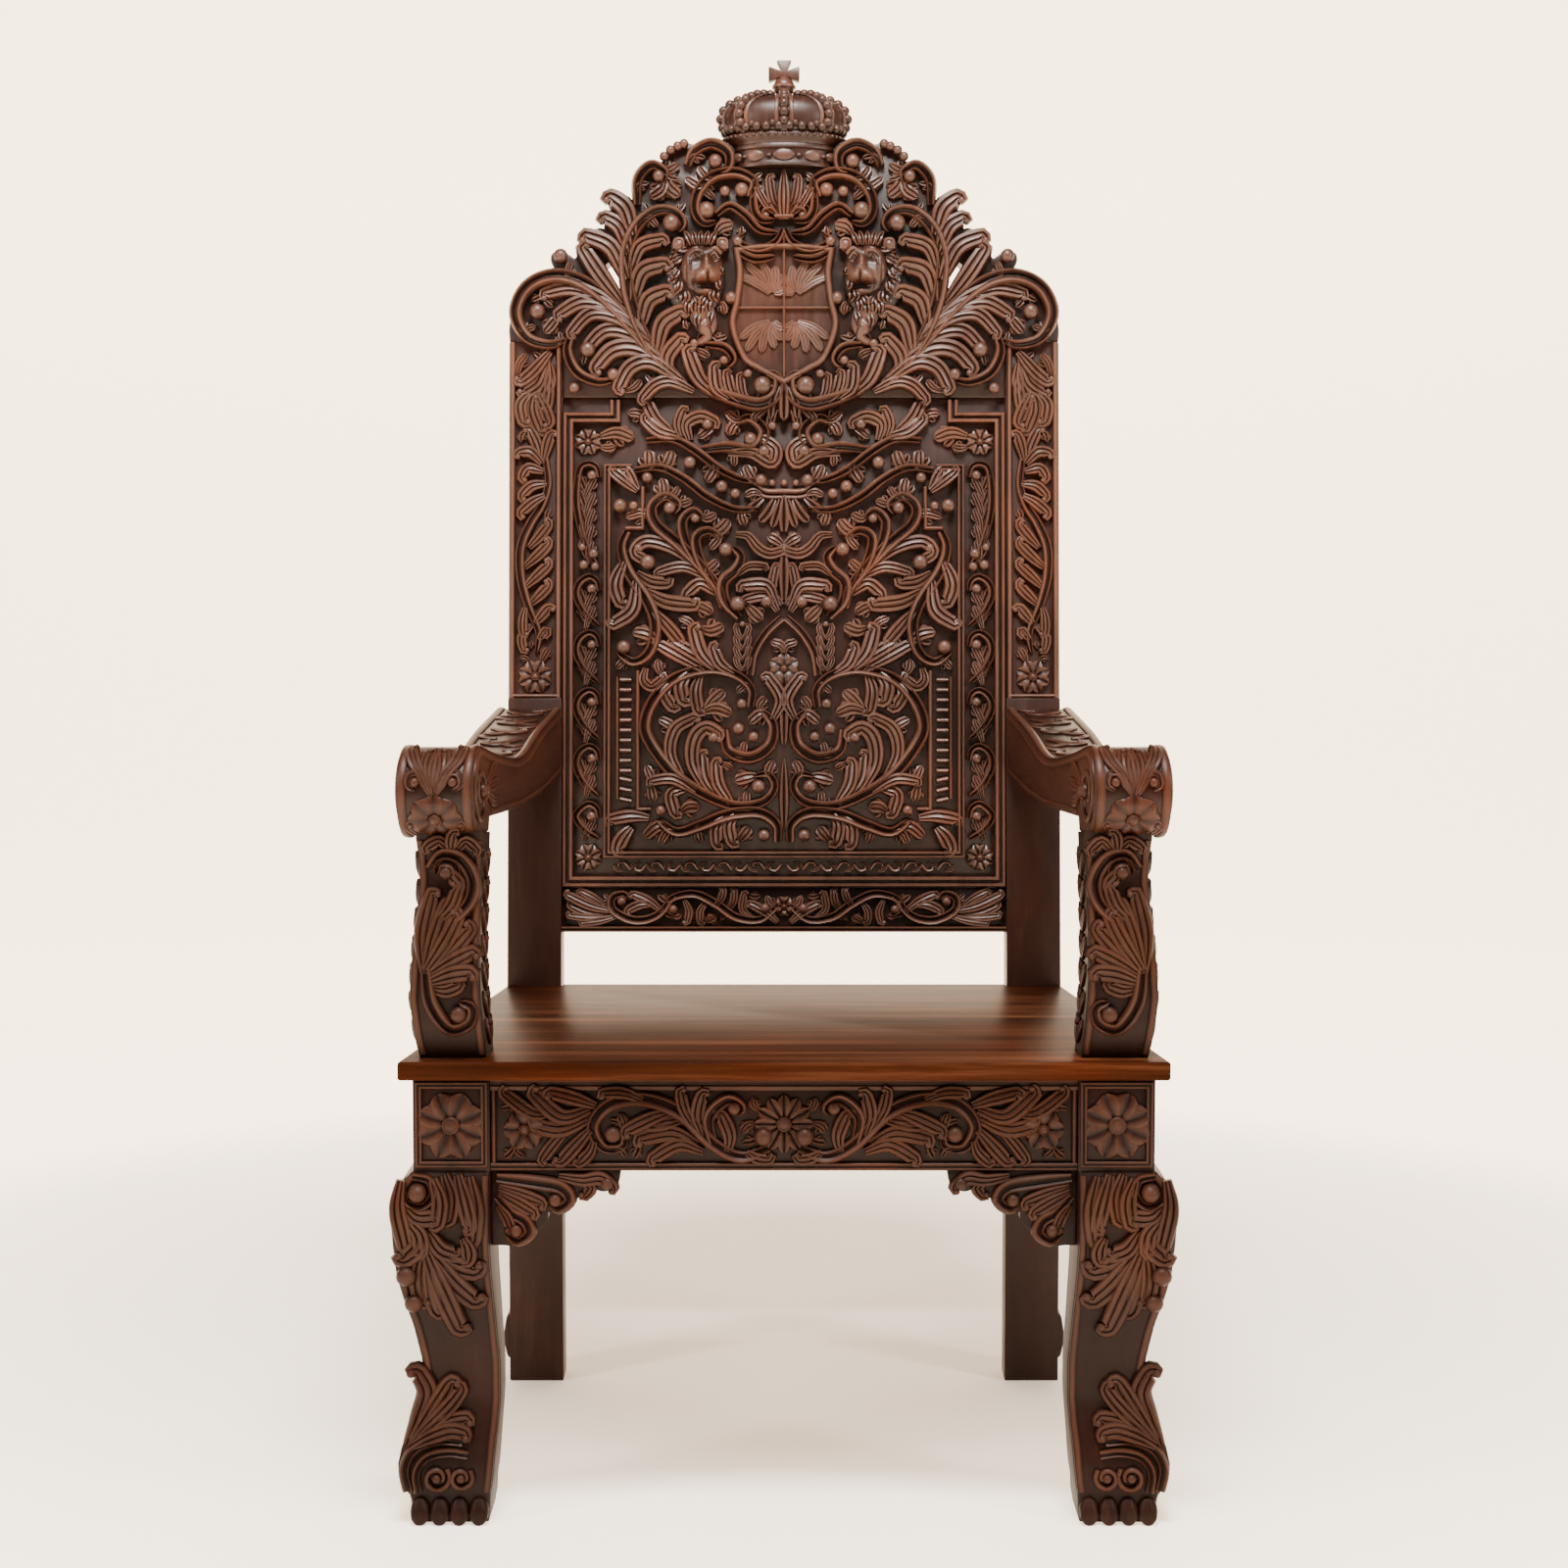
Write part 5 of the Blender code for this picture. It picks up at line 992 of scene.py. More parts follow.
APRON_STEMS = (
    (8, (16, 404), (45, 394), (75, 408), (110, 442), (150, 457), (185, 451), (203, 428), (192, 405),
     (172, 406), (170, 420)),
    (7, (76, 408), (80, 438), (60, 457), (44, 448), (50, 440)),
)
APRON_LEAVES = (
    (7, (60, 400), (58, 418), (66, 438)), (7, (86, 418), (92, 440), (88, 460)),
    (6, (96, 428), (106, 446), (110, 463)), (8, (92, 408), (118, 420), (150, 415)),
    (7, (86, 400), (112, 408), (138, 394)), (7, (120, 444), (142, 436), (166, 424)),
    (7, (106, 436), (130, 430), (152, 430)), (8, (206, 446), (236, 438), (264, 461)),
    (7, (200, 450), (222, 458), (246, 464)), (8, (206, 436), (238, 424), (262, 428)),
    (7, (206, 424), (224, 404), (236, 391)), (6, (202, 412), (206, 400), (216, 390)),
    (7, (246, 442), (268, 442), (296, 462)), (6, (230, 424), (244, 410), (256, 394)),
    (6, (150, 456), (170, 464), (190, 464)), (6, (40, 400), (30, 394), (18, 392)),
)


def make_apron():
    half = BLOCK_INNER - FIT
    board = plank(box(-half, half, APRON_BOTTOM, LEG_TOP), -24, APRON_FACE, on_front, 0.3, 0.8)
    relief = Relief(raised(on_front, APRON_FACE))
    for z, wide in ((384, 4), (472.8, 6.8)):
        relief.moulding(((-half, z), (half, z)), wide, 5, sides=(1,))
    relief.moulding(((half - 3, 386), (half - 3, 468)), 3, 4.6, CORD)
    relief.leaves(APRON_LEAVES, 1.35, 8)
    relief.stems(APRON_STEMS, 10)
    relief.balls(((22, 417, 10), (53, 447, 7), (182, 419, 9)), 2)
    relief.flower(0, 430, 31, 12, rise=7)
    relief.flower(276, 424, 22, 6, rise=7)
    relief.fill(((2, 388), (306, 388), (306, 466), (2, 466)), 5, 10, 7, 60)
    dress(relief.finish("apron_carving", board), "apron_front", shaded_frieze_wood)


# Front leg: height, outer edge, inner edge, front and rear
LEG = np.array((
    (381, 394, 312.5, 0, 78), (372, 405, 312.5, -5, 80), (356, 415, 312.5, -9, 84),
    (330, 418, 312.5, -11, 86), (300, 416, 312.5, -10, 86), (292, 415, 312, -9, 86),
    (268, 413, 311, -6, 84), (240, 406, 309, 0, 80), (212, 397, 307, 6, 76), (170, 388, 304, 12, 74),
    (130, 387, 304, 12, 74), (104, 398, 306, 6, 76), (84, 409, 308, -1, 80), (60, 414, 310, -7, 84),
    (40, 409, 312, -8, 86), (30, 400, 314, -6, 86), (0, 398, 315, -4, 84),
), float)


def leg_at(z, column):
    return np.interp(z, LEG[::-1, 0], LEG[::-1, column])


def rounded_ring(left, right, front, rear, z, corner):
    """Points round a rectangle with round corners."""
    ring = []
    for cx, cy, start in ((right - corner, rear - corner, 0), (left + corner, rear - corner, 90),
                          (left + corner, front + corner, 180), (right - corner, front + corner, 270)):
        for k in range(4):
            a = math.radians(start + 30 * k)
            ring.append((cx + corner * math.cos(a), cy + corner * math.sin(a), z))
    return ring


LEG_LEAVES = (
    (8, (406, 372), (409, 345), (404, 318), (400, 300)), (8, (400, 344), (388, 334), (372, 334)),
    (8, (398, 330), (386, 316), (384, 300)), (8, (360, 378), (352, 356), (354, 334)),
    (8, (346, 378), (338, 352), (332, 326)), (8, (372, 374), (364, 352), (366, 330)),
    (9, (334, 376), (328, 344), (330, 312)), (9, (384, 322), (388, 302), (400, 290)),
    (8, (376, 318), (364, 300), (350, 294)), (10, (378, 304), (354, 284), (332, 276)),
    (10, (378, 300), (352, 264), (332, 244)), (10, (380, 298), (362, 250), (348, 214)),
    (9, (382, 300), (378, 262), (370, 232)), (8, (384, 296), (388, 268), (386, 244)),
    (7, (340, 312), (334, 300), (334, 290)),
)
ANKLE_LEAVES = (
    (10, (402, 84), (390, 112), (382, 138), (390, 157)), (9, (398, 90), (382, 112), (368, 134), (359, 148)),
    (8, (392, 94), (372, 112), (356, 128), (347, 140)), (8, (396, 90), (376, 102), (356, 110), (342, 112)),
    (8, (398, 84), (378, 94), (358, 100), (344, 98)),
)
FOOT_BANDS = (
    (6, (402, 36), (406, 60), (396, 80), (372, 90), (344, 88)),
    (5, (391, 34), (393, 56), (382, 72), (360, 77), (338, 74)),
)


# Rings of a toe from its root to its tip: depth, width as a share of the pitch, and height
TOES = 4
TOE = ((12, 0.5, 27), (0, 0.98, 30), (-10, 1.0, 28), (-15, 0.9, 20), (-17, 0.6, 12))


def make_leg(side):
    """A cabriole leg: rosette block, knee, ankle and a paw with its toes."""
    name = sided("front_leg", side)
    heights = np.concatenate((np.linspace(381, 24, 46), (12, 3, 0)))
    rings = []
    for z in heights:
        inset = 1.5 if z < 6 else 0
        left, right = sorted((side * (leg_at(z, 1) - inset), side * (leg_at(z, 2) + inset)))
        rings.append(rounded_ring(left, right, BLOCK_FRONT + leg_at(z, 3) + inset,
                                  BLOCK_FRONT + leg_at(z, 4) - inset, z, 5.0))
    body = Relief(at_scale, (1,))
    body.tube(np.array(rings), np.full((len(rings), 16), 0.42))
    left, right = sorted((side * BLOCK_INNER, side * (BLOCK_INNER + BLOCK_WIDTH)))
    block = plank(box(left, right, APRON_BOTTOM - 0.2, LEG_TOP), -78, 0, on_front, 0.4, 1.0)

    def proud(p):
        z = p[:, 1]
        depth = np.where(z > 381, 0, leg_at(z, 3))
        return np.column_stack((p[:, 0], BLOCK_FRONT + depth - p[:, 2], z)) * MM

    relief = Relief(proud, (side,))
    for column, shift in ((1, -6), (2, 5)):
        relief.moulding([(leg_at(z, column) + shift, z) for z in np.linspace(376, 34, 40)], 4, 2.4, CORD)
    relief.leaves(LEG_LEAVES, 1.4, 9)
    relief.leaves(ANKLE_LEAVES, 1.3, 9)
    relief.strokes(FOOT_BANDS, rise=8, section=BAND, width=even_width)
    relief.stems(((5, (394, 376), (376, 372), (372, 356), (384, 345), (400, 350), (402, 362)),), 9)
    relief.balls(((388, 360, 10), (401, 270, 11), (394, 239, 10)), 4)
    for x, size in ((371, 15), (345, 13)):
        spiral = []
        for t in np.linspace(0, 1, 12):
            radius, turn = size * (1 - 0.55 * t), 7.5 * t + 2.4
            spiral.append((x + radius * math.cos(turn), 50 + radius * math.sin(turn)))
        relief.cord(spiral, 3.6, 7, 3.0)
        relief.ball(x, 50, 5, 3)
    relief.moulding(((318, 388), (388, 388), (388, 473), (318, 473)), 3.4, 4, closed=True)
    relief.flower(353.5, 430, 36, turn=math.pi / 8)
    pitch = 84 / TOES
    for i in range(TOES):
        x = 315.5 + pitch * (i + 0.5)
        toe = [[(x + pitch / 2 * half * math.cos(a), max(high * 0.5 + high * 0.5 * math.sin(a), 0.4), -y)
                for a in np.linspace(0, math.tau, 14, endpoint=False)] for y, half, high in TOE]
        relief.tube(np.array(toe), np.full((len(TOE), 14), 0.5), place=on_front)
    dress(relief.finish(name + "_carving", body.finish(name + "_body"), block), name, shaded_front_wood)


# The bracket's edge: its straight sides, then its lobes
BRACKET_EDGE = (
    ((312.2, 379.4), (174, 379.4), (176, 366)), ((184, 358), (192, 356), (200, 358), (203, 362)),
    ((204, 360), (218, 350), (222, 347)), ((222, 346), (228, 336), (240, 331), (252, 334)),
    ((252, 326), (260, 316), (272, 312)), ((272, 312), (277, 302), (288, 297), (300, 298), (312.2, 298)),
)


def make_bracket(side):
    name = sided("bracket", side)
    outline = list(BRACKET_EDGE[0])
    for run in BRACKET_EDGE[1:]:
        outline += [tuple(p) for p in smooth_curve(run, 3.0)]
    body = plank([(side * x, z) for x, z in outline], -34, BRACKET_FACE, on_front, 0.2, 0.8)
    relief = Relief(raised(on_front, BRACKET_FACE), (side,))
    relief.stems(((8, (306, 372), (270, 368), (238, 362), (228, 348), (240, 338), (250, 344)),
                  (7, (306, 352), (290, 334), (276, 326), (271, 312), (284, 303), (297, 311))), 8)
    relief.leaves(((7, (304, 362), (280, 354), (260, 346)), (7, (304, 356), (284, 346), (268, 336)),
                   (7, (240, 374), (215, 370), (196, 372), (184, 364)),
                   (6, (220, 372), (206, 362), (210, 354)), (6, (305, 342), (296, 330), (292, 320))), 1.25, 7)
    relief.balls(((244, 348, 7), (286, 315, 7), (188, 366, 7)), 3)
    dress(relief.finish(name + "_carving", body), name, shaded_frieze_wood)


ARM_RADIUS = 47.5
ARM_CENTRE = (SEAT_FRONT + ARM_RADIUS + 7.5, SEAT_HEIGHT + 330 - ARM_RADIUS)


def arm_outline(step=6.0):
    """Side view of an arm as depth and height: its top, scroll and underside, from the post round to it."""
    cy, cz = ARM_CENTRE
    span = HINGE - cy
    rear = [HINGE + h * math.tan(RAKE) - FIT * 1.5 for h in (342, 262)]
    top = smooth_curve(((rear[0], SEAT_HEIGHT + 342), (cy + span * 0.78, SEAT_HEIGHT + 322),
                        (cy + span * 0.52, SEAT_HEIGHT + 300), (cy + span * 0.26, SEAT_HEIGHT + 310),
                        (cy, cz + ARM_RADIUS)), step)
    turn = np.radians(np.linspace(90, 270, 26))[1:]
    scroll = np.column_stack((cy + ARM_RADIUS * np.cos(turn), cz + ARM_RADIUS * np.sin(turn)))
    under = np.array(((cy + ARM_RADIUS * 1.05, cz - ARM_RADIUS), (cy + ARM_RADIUS * 1.15, SEAT_HEIGHT + 250),
                      (cy + span * 0.5, SEAT_HEIGHT + 244), (cy + span * 0.78, SEAT_HEIGHT + 249),
                      (rear[1], SEAT_HEIGHT + 262)))
    return top, scroll, under


def arm_place(side):
    """Turns across, depth and height of a straight arm into the splayed arm."""
    def place(p):
        shift = -side * ARM_SLOPE * (p[:, 1] - SEAT_FRONT)
        return np.column_stack((p[:, 0] + shift, p[:, 1], p[:, 2])) * MM
    return place


def make_arm(side):
    """A scroll arm: its top and front are carved along its outline, and its sides on their own."""
    name = sided("armrest", side)
    top, scroll, under = arm_outline()
    path = np.vstack((top, scroll))
    outline = np.vstack((path, under))
    place = arm_place(side)
    outer = HALF_SEAT_FRONT
    inner = outer - ARM_WIDTH
    middle = (outer + inner) / 2
    low, high = sorted((side * outer, side * inner))
    body = plank([tuple(p) for p in outline], low, high, lambda p: place(p[:, (2, 0, 1)]), bevel=2.5,
                 segments=3)
    spots = np.empty(len(body.data.vertices) * 3)
    body.data.vertices.foreach_get("co", spots)
    spots = spots.reshape(-1, 3) / MM
    across = side * spots[:, 0] + ARM_SLOPE * (spots[:, 1] - SEAT_FRONT) - middle
    # Painted light and shade: the arm's two sides are lighter and its top and front darker, to even out how
    # the studio light falls on them
    painted_side_light = np.where(np.abs(across) > ARM_WIDTH / 2 - 1.4, 0.8, 0.2)
    body.data.attributes["rubbed"].data.foreach_set("value", painted_side_light)
    along = np.concatenate(([0], np.cumsum(np.linalg.norm(np.diff(path, axis=0), axis=1))))
    way = np.gradient(path, axis=0)
    way /= np.linalg.norm(way, axis=1)[:, None]
    out = np.column_stack((way[:, 1], -way[:, 0]))

    def wrap(p):
        y = np.interp(p[:, 1], along, path[:, 0]) + np.interp(p[:, 1], along, out[:, 0]) * p[:, 2]
        z = np.interp(p[:, 1], along, path[:, 1]) + np.interp(p[:, 1], along, out[:, 1]) * p[:, 2]
        return place(np.column_stack((p[:, 0], y, z)))

    total = along[-1]
    relief = Relief(raised(wrap, 0, side * middle), (side,))
    for x in (-34.6, 34.6):
        relief.moulding([(x, s) for s in np.linspace(4, total - 2, 60)], 5.2, 2.6, CORD)
    base = total - 76
    for hand in (1, -1):
        relief.leaves(((6, (1 * hand, base), (5 * hand, base - 26), (2 * hand, base - 50)),
                       (6, (3 * hand, base), (14 * hand, base - 24), (13 * hand, base - 46)),
                       (6, (8 * hand, base - 14), (22 * hand, base - 34), (27 * hand, base - 52))), 1.3, 3.4)
        relief.stems(((4, (2 * hand, base + 2), (12 * hand, base - 18), (25 * hand, base - 20),
                       (28 * hand, base - 8), (20 * hand, base - 3)),), 4)
        relief.ball(20 * hand, base - 11, 5, 0.5)
        leaf = (6, (6 * hand, total - 12), (18 * hand, total - 20), (28 * hand, total - 34))
        relief.leaves((leaf,), 1.3, 3)
    relief.flower(0, total - 46, 29, 8, rise=3.4)
    cy, cz = ARM_CENTRE
    spiral = [(cy + r * math.cos(a), cz + r * math.sin(a))
              for a, r in zip(np.linspace(1.1, 10.8, 34), np.linspace(ARM_RADIUS - 5.5, 9, 34))]
    for x, outwards in ((outer, 1), (inner, -1)):
        def face(p, x=x, outwards=outwards):
            return place(np.column_stack((side * (x + outwards * (p[:, 2] - 0.5)), p[:, 0], p[:, 1])))

        look = {"place": face, "sides": (1,)}
        relief.cord([(cy + 0.2 * ARM_RADIUS, cz + ARM_RADIUS - 8), *spiral[2:]], 4.2, 4.0, **look)
        relief.ball(cy, cz, 9, **look)
        for line in (top[1:-1] - (0, 6.5), under[1:] + (0, 6.5)):
            spots = np.linspace(0.02, len(line) - 1.02, 30)
            edge = np.column_stack([np.interp(spots, range(len(line)), line[:, k]) for k in (0, 1)])
            relief.cord(edge, 3.4, 3.0, **look)
        root = cy + 34
        for reach, high in ((58, 22), (66, 2), (56, -18)):
            relief.stroke(((root, cz + high * 0.3), (root + reach * 0.5, cz + high * 0.8),
                           (root + reach, cz + high)), 8, 4, **look)
    sprigs = 9
    for i in range(sprigs):
        s = 26 + (total - 210) * i / sprigs
        turn = 1 if i % 2 else -1
        relief.stroke(((-22 * turn, s), (0, s + 22), (18 * turn, s + 18), (16 * turn, s + 2)), 6, 2.8, FROND)
        relief.stroke(((4 * turn, s + 20), (-16 * turn, s + 30), (-28 * turn, s + 24)), 5.5, 2.6, LEAF)
        relief.stroke(((8 * turn, s - 4), (24 * turn, s - 8), (30 * turn, s - 20)), 5, 2.6, LEAF)
    dress(relief.finish(name + "_carving", body), name, shaded_arm_wood)


# Arm support: height, outer edge, inner edge, front and rear
SUPPORT = np.array((
    (234.4, 390, 318, 6, 84), (214, 388, 319, 12, 84), (190, 387, 320, 12, 83), (160, 389, 321, 6, 84),
    (130, 392, 322, 0, 86), (100, 395, 322, -4, 88), (64, 397, 321, -6, 88), (36, 394, 319, -4, 86),
    (14, 391, 317, 2, 82), (0, 388, 316, 6, 78),
), float)
SUPPORT_FRONT = SEAT_FRONT + 22
SUPPORT_SCROLLS = (
    (8, (376, 702), (362, 718), (342, 713), (329, 692), (331, 670), (346, 652), (364, 640)),
    (6, (346, 690), (350, 706), (364, 708), (368, 696)),
    (8, (379, 602), (373, 562), (354, 534), (334, 539), (330, 555), (343, 562)),
)
SUPPORT_LEAVES = (
    (8, (380, 592), (382, 632), (374, 672)), (8, (379, 596), (368, 634), (358, 662)),
    (8, (378, 596), (358, 626), (346, 650)), (8, (377, 594), (352, 616), (334, 636)),
    (8, (376, 590), (352, 604), (332, 614)), (8, (374, 584), (352, 592), (334, 594)),
    (7, (372, 576), (358, 574), (346, 578)), (7, (350, 670), (344, 684), (352, 694)),
    (7, (366, 648), (352, 664), (346, 680)), (6, (354, 722), (364, 732), (376, 726)),
    (6, (346, 722), (336, 732), (326, 724)), (6, (352, 720), (352, 730), (350, 738)),
)


def support_at(z, column):
    return np.interp(z - SEAT_HEIGHT, SUPPORT[::-1, 0], SUPPORT[::-1, column])


def make_support(side):
    """An S-shaped support that ends under the arm's scroll, carved in front and on both sides."""
    name = sided("arm_support", side)
    rings = []
    for z in SEAT_HEIGHT + np.linspace(FIT, 234.4, 40):
        left, right = sorted((side * support_at(z, 1), side * support_at(z, 2)))
        front, rear = (SUPPORT_FRONT + support_at(z, column) for column in (3, 4))
        rings.append(rounded_ring(left, right, front, rear, z, 4.0))
    cy, cz = ARM_CENTRE
    last = []
    for x, y, z in rings[-1]:
        ahead = min(max(cy - y, 0), ARM_RADIUS - 6)
        last.append((x, y, cz - math.sqrt(ARM_RADIUS ** 2 - ahead ** 2) - FIT))
    rings.append(last)
    body = Relief(at_scale, (1,))
    body.tube(np.array(rings), np.full((len(rings), 16), 0.4))

    def proud(p):
        return np.column_stack((p[:, 0], SUPPORT_FRONT + support_at(p[:, 1], 3) - p[:, 2], p[:, 1])) * MM

    relief = Relief(proud, (side,))
    for column, shift in ((1, -5), (2, 5)):
        relief.moulding([(support_at(z, column) + shift, z) for z in np.linspace(504, 732, 30)], 4, 2.6, CORD)
    relief.leaves(SUPPORT_LEAVES, 1.35, 8)
    relief.stems(SUPPORT_SCROLLS, 10)
    relief.balls(((358, 698, 7), (344, 549, 9)), 4)

    for column, outwards in ((2, -1), (1, 1)):
        def flank(p, column=column, outwards=outwards):
            x = side * (support_at(p[:, 1], column) + outwards * p[:, 2])
            return np.column_stack((x, SUPPORT_FRONT + 42 + p[:, 0], p[:, 1])) * MM

        for z in range(520, 701, 30):
            relief.stroke(((6, z - 8), (-14, z + 4), (-26, z + 18)), 7, 4, place=flank)
            relief.stroke(((6, z - 8), (18, z + 6), (28, z + 20)), 7, 4, place=flank)
            relief.ball(2, z + 14, 5, place=flank)
    dress(relief.finish(name + "_carving", body.finish(name + "_body")), name, shaded_front_wood)


CROWN_AXIS = -20
CROWN_FLATNESS = 0.52
CROWN_BELLY = 76
CROWN_PROFILE = (
    (0.1, 92), (20, 91.5), (40, 90), (55, 87), (67, 81), (74, 72), (75.5, 62), (73.5, 52), (68, 44),
    (63, 40), (74, 41), (77, 38), (74, 34), (66, 31), (64, 28), (66, 26), (66, 22), (61.5, 20), (60.5, 12),
    (60, 6), (60.8, 5), (61, 0), (59, 0), (0.1, 0),
)
CROWN_ARCH = ((45, 67), (52, 74), (62, 77), (72, 75), (80, 69), (87, 57), (92, 41), (93, 22))


def make_crown():
    """Band with studs, coronet, bulged cap with beaded arches, orb and cross."""
    base = CREST_HEIGHT + FIT

    def on_axis(p):
        return on_back(p + (0, base, CROWN_AXIS))

    def wrap(p):
        """Angle in degrees, height and radius, of a crown that is flattened from front to rear."""
        a = np.radians(p[:, 0])
        return on_back(np.column_stack((p[:, 2] * np.sin(a), base + p[:, 1],
                                        p[:, 2] * np.cos(a) * CROWN_FLATNESS + CROWN_AXIS)))

    relief = Relief(wrap, (1,))
    angles = np.linspace(0, 360, 64, endpoint=False)
    rings = np.array([[(a, z, r) for a in angles] for r, z in CROWN_PROFILE])
    relief.tube(rings, np.full(rings.shape[:2], 0.5))

    def knob(angle, z, r, size, squash=1.0):
        centre = wrap(np.array(((angle, z, r),)))[0] / MM
        relief.ball(0, 0, size, segments=10, squash=squash,
                    place=lambda p: (p + (0, 0, -size * 0.5)) * MM + centre * MM)

    turns = np.linspace(0, math.tau, 8, endpoint=False)
    for angle in range(0, 360, 45):
        for z, r in smooth_curve(CROWN_ARCH, 11.0):
            knob(angle, z, r + 2.5, 6.6)
        for width in (-7, 7):
            rings = []
            for z, r in smooth_curve(CROWN_ARCH, 4.0):
                near = max(r, 20)
                middle = angle + width * (0.35 + 0.65 * r / CROWN_BELLY) * CROWN_BELLY / near
                rings.append([(middle + 2.2 * math.cos(b) * CROWN_BELLY / near, z, r + 2.2 * math.sin(b))
                              for b in turns])
            relief.tube(np.array(rings), np.full((len(rings), 8), 0.8))
    for i in range(16):
        for angle, z, r, size in ((5, 47, 74, 6.2), (-5, 47, 74, 6.2), (11.25, 51, 73, 4.6)):
            knob(22.5 * i + angle, z, r, size)
    for i in range(10):
        relief.ball(0, 0, 7.4, segments=12, squash=0.6, place=lambda p, i=i: wrap(np.column_stack(
            (36 * i + p[:, 0] * 1.7, 13 + p[:, 1], 60 + p[:, 2]))))
        knob(36 * i + 18, 13, 60.5, 4.2, 0.7)
    for i in range(48):
        knob(7.5 * i, 37, CROWN_BELLY, 2.4)
    lathe = Relief(on_axis, (1,))
    orb = [(13.5 * math.cos(a), 105 + 13.5 * math.sin(a)) for a in np.linspace(-1.45, 1.5, 12)]
    belt = ((13, 103), (15, 103.5), (15, 106.5), (13, 107))
    turns = np.linspace(0, math.tau, 20, endpoint=False)
    for profile, tone in ((((9, 89), (11, 92), *orb), 0.7), (belt, 0.9)):
        rings = np.array([[(r * math.cos(a), z, r * math.sin(a)) for a in turns] for r, z in profile])
        lathe.tube(rings, np.full(rings.shape[:2], tone))
    cross = []
    for i in range(4):
        reach = 17.2 if i % 2 else 19.6
        turn = math.radians(90 * i)
        for a, b in ((3.6, -3.6), (reach - 1.5, -9.2), (reach, -8.2), (reach, 8.2), (reach - 1.5, 9.2)):
            cross.append((a * math.cos(turn) - b * math.sin(turn),
                          120.8 + a * math.sin(turn) + b * math.cos(turn)))
    top = lathe.finish("crown_orb", plank(cross, -7, 7, on_axis, 0.6, 0.8))
    dress(relief.finish("crown_carving", top), "crown", carved_wood)


def make_seat():
    """The plank seat, with a tongue between the posts over the rear apron."""
    rear = HINGE - FIT
    reach = HALF_SEAT_REAR + SIDE_SLOPE * FIT
    tongue, end = BETWEEN_POSTS - FIT, HINGE + SEAT_TONGUE
    outline = ((-HALF_SEAT_FRONT, SEAT_FRONT), (HALF_SEAT_FRONT, SEAT_FRONT), (reach, rear), (tongue, rear),
               (tongue, end), (-tongue, end), (-tongue, rear), (-reach, rear))
    item = plank(outline, SEAT_HEIGHT - SEAT_THICKNESS, SEAT_HEIGHT, at_scale, bevel=3.0, segments=4)
    item.name = "seat_plank"
    join(item)
    dress(item, "seat", seat_wood)


def dress_aprons():
    """The plain aprons stay the CAD's own solids."""
    for node, material in (("apron_left", apron_wood), ("apron_right", apron_wood),
                           ("apron_rear", rail_wood)):
        item = bpy.data.objects[node]
        item.data.materials.clear()
        item.data.materials.append(material)


FLOOR_COLOUR = (0.90, 0.84, 0.77, 1)
# The floor's own glow at shares of the way out, weaker near the throne: a painted soft shadow
FLOOR_GLOW_AND_PAINTED_SHADOW = ((0.25, (0.14, 0.105, 0.075)), (0.66, (0.5, 0.4, 0.3)), (0.82, (1, 0.76, 0.53)))
PAINTED_SHADOW_MIDDLE = (0, -0.6, 0)
GLOW_STRENGTH = 3.9
ROOM_WIDTH = 18
ROOM_RUN = 16
ROOM_FRONT = -5.0
FLOOR_RUN = 9.0
WALL_BEND = 2.0


def make_room():
    """A pale floor that curves up into the wall; it glows, less near the throne, which paints its soft
    shadow.
    """
    bpy.ops.mesh.primitive_grid_add(x_subdivisions=2, y_subdivisions=60, size=1)
    room = bpy.context.object
    room.name = "backdrop"
    grid = np.empty(len(room.data.vertices) * 3)
    room.data.vertices.foreach_get("co", grid)
    grid = grid.reshape(-1, 3)
    run = (grid[:, 1] + 0.5) * ROOM_RUN
    quarter = WALL_BEND * math.pi / 2
    turn = np.clip((run - FLOOR_RUN) / quarter, 0, 1) * math.pi / 2
    y = ROOM_FRONT + np.minimum(run, FLOOR_RUN) + WALL_BEND * np.sin(turn)
    z = WALL_BEND * (1 - np.cos(turn)) + np.maximum(run - FLOOR_RUN - quarter, 0)
    world = np.column_stack((grid[:, 0] * ROOM_WIDTH, y, z))
    room.data.vertices.foreach_set("co", world.reshape(-1))
    room.data.update()
    for polygon in room.data.polygons:
        polygon.use_smooth = True
    paint = Finish("backdrop_with_painted_shadow")
    place = paint.node("ShaderNodeTexCoord", output=3)
    # Painted shadow: the glow fades towards a point behind the throne
    behind = paint.node("ShaderNodeMapping", {}, {0: place, "Location": PAINTED_SHADOW_MIDDLE})
    away = paint.node("ShaderNodeVectorMath", {"operation": "LENGTH"}, {0: behind}, 1)
    glow_with_painted_shadow = paint.node("ShaderNodeValToRGB", {"stops": FLOOR_GLOW_AND_PAINTED_SHADOW}, {0: away * 0.5})
    paint.surface_values(Base_Color=FLOOR_COLOUR, Roughness=0.9, Emission_Color=glow_with_painted_shadow,
                         Emission_Strength=GLOW_STRENGTH)
    room.data.materials.append(paint.material)
    room.select_set(False)


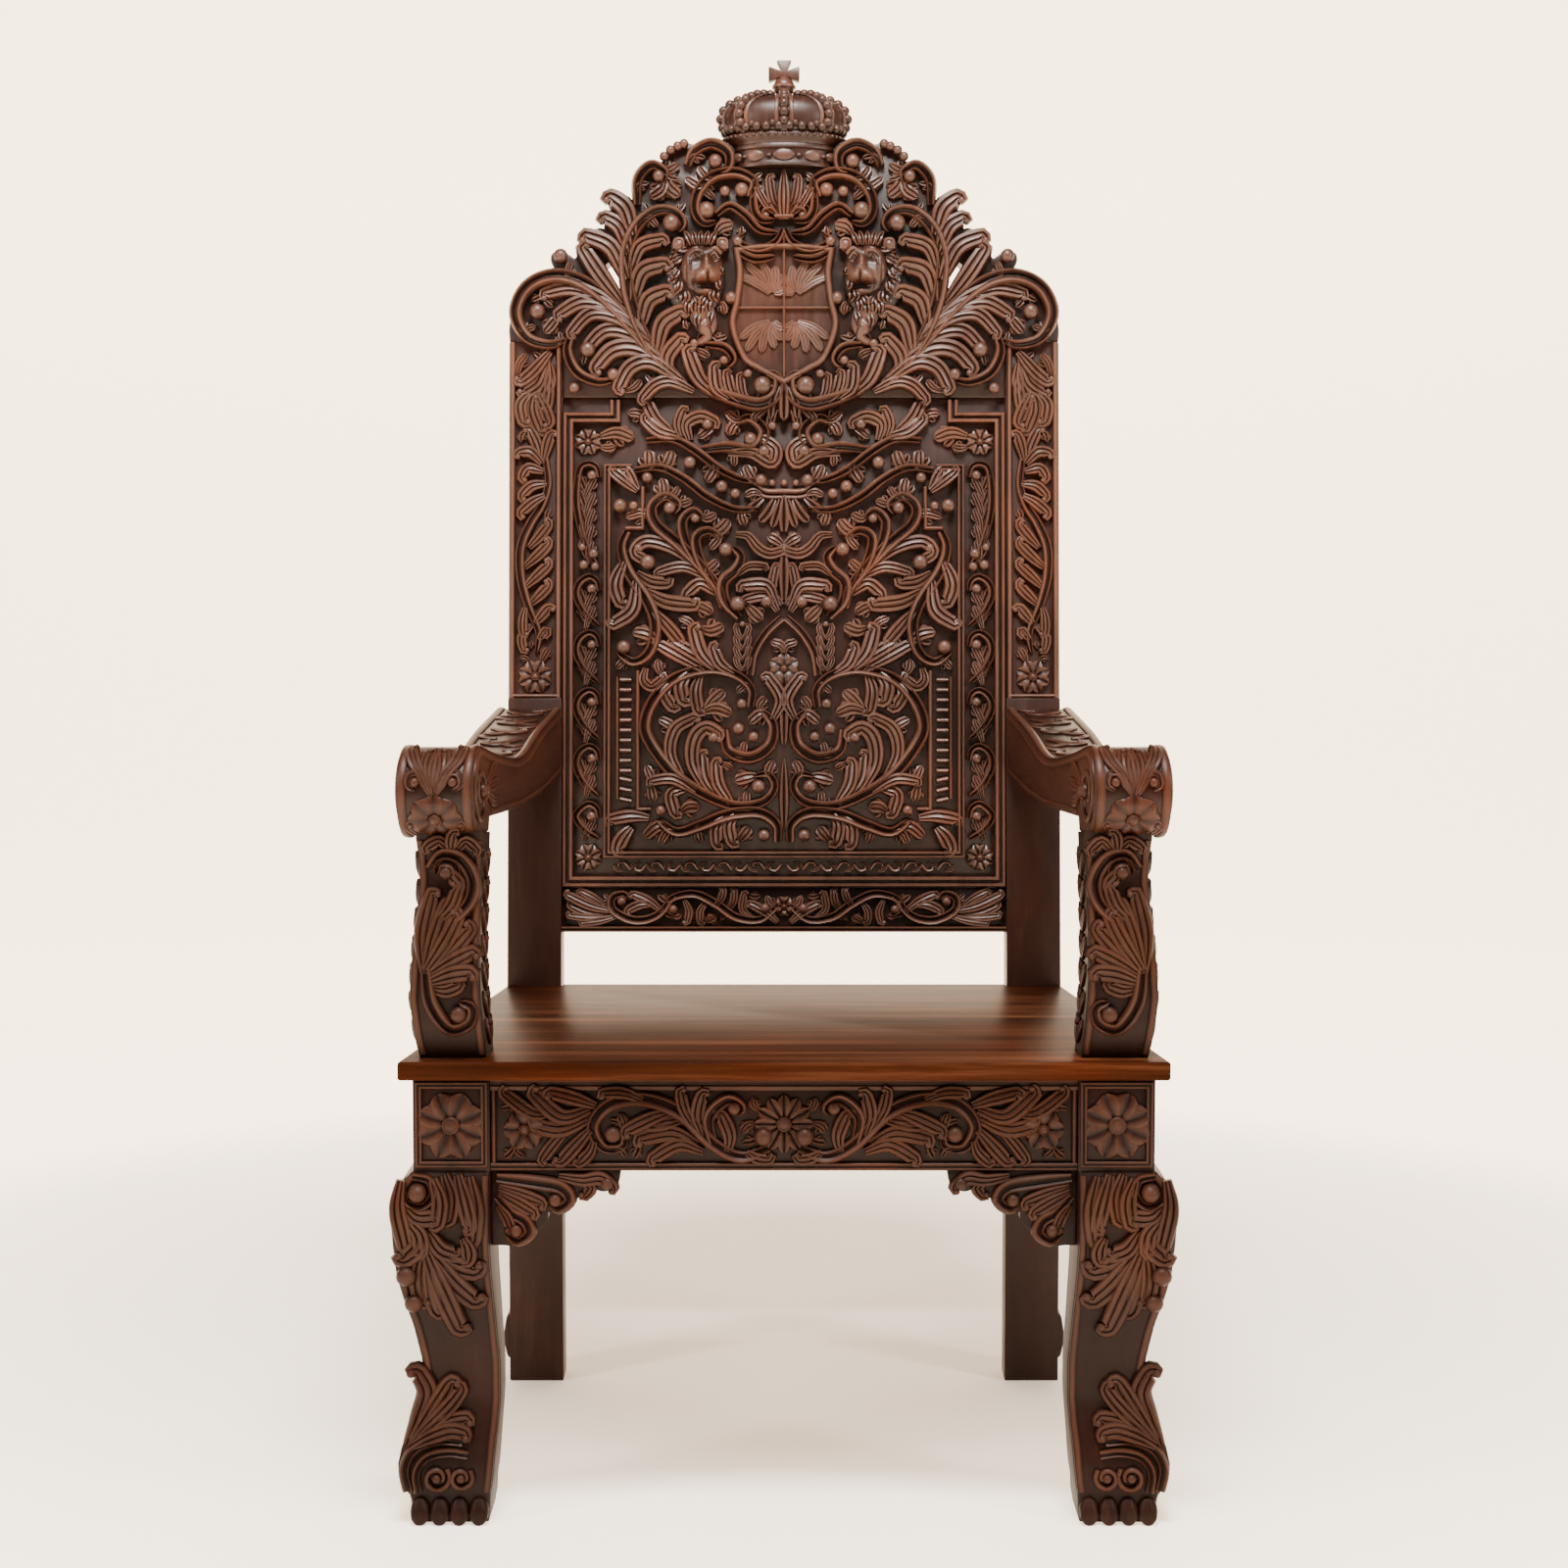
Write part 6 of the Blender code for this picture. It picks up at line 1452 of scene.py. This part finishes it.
# Name, place in metres, width and height in metres, and power in watts
SOFTBOXES = (
    ("top_softbox", (0, -1.6, 4.2), (1.5, 1.0), 380), ("left_softbox", (-3.2, -2.2, 2.6), (0.6, 1.5), 110),
    ("right_softbox", (3.2, -2.2, 2.6), (0.6, 1.5), 110),
)
SOFTBOX_AIM = (0, 0, 0.8)
SOFTBOX_COLOUR = (1, 0.95, 0.9)
ROOM_LIGHT_COLOUR = (1.0, 0.965, 0.92, 1)
ROOM_LIGHT_STRENGTH = 0.15


def make_lights():
    for name, place, size, power in SOFTBOXES:
        data = bpy.data.lights.new(name, "AREA")
        data.shape = "RECTANGLE"
        data.size, data.size_y = size
        data.energy = power
        data.color = SOFTBOX_COLOUR
        data.spread = math.pi
        lamp = bpy.data.objects.new(name, data)
        bpy.context.scene.collection.objects.link(lamp)
        lamp.location = place
        lamp.rotation_euler = (Vector(SOFTBOX_AIM) - Vector(place)).to_track_quat("-Z", "Y").to_euler()
    world = bpy.data.worlds.new("room_light")
    bpy.context.scene.world = world
    world.use_nodes = True
    colour, strength = world.node_tree.nodes["Background"].inputs[:2]
    colour.default_value = ROOM_LIGHT_COLOUR
    strength.default_value = ROOM_LIGHT_STRENGTH


# The photo's camera, solved from the seat's edge, the feet and the arms: millimetres and degrees
CAMERA_LENS = 68.6
CAMERA_SENSOR = 36
CAMERA_IN_FRONT = 3118
CAMERA_HEIGHT = 1037
CAMERA_DOWN = 4.45


def make_camera():
    data = bpy.data.cameras.new("photo_camera")
    data.lens = CAMERA_LENS
    data.sensor_width = CAMERA_SENSOR
    camera = bpy.data.objects.new("photo_camera", data)
    bpy.context.scene.collection.objects.link(camera)
    camera.location = (0, (SEAT_FRONT - CAMERA_IN_FRONT) * MM, CAMERA_HEIGHT * MM)
    camera.rotation_euler = (math.radians(90 - CAMERA_DOWN), 0, 0)
    bpy.context.scene.camera = camera


make_crest()
make_crown()
make_panel()
make_rail()
make_apron()
make_seat()
dress_aprons()
for hand in (1, -1):
    make_post(hand)
    make_leg(hand)
    make_bracket(hand)
    make_arm(hand)
    make_support(hand)
make_room()
make_lights()
make_camera()
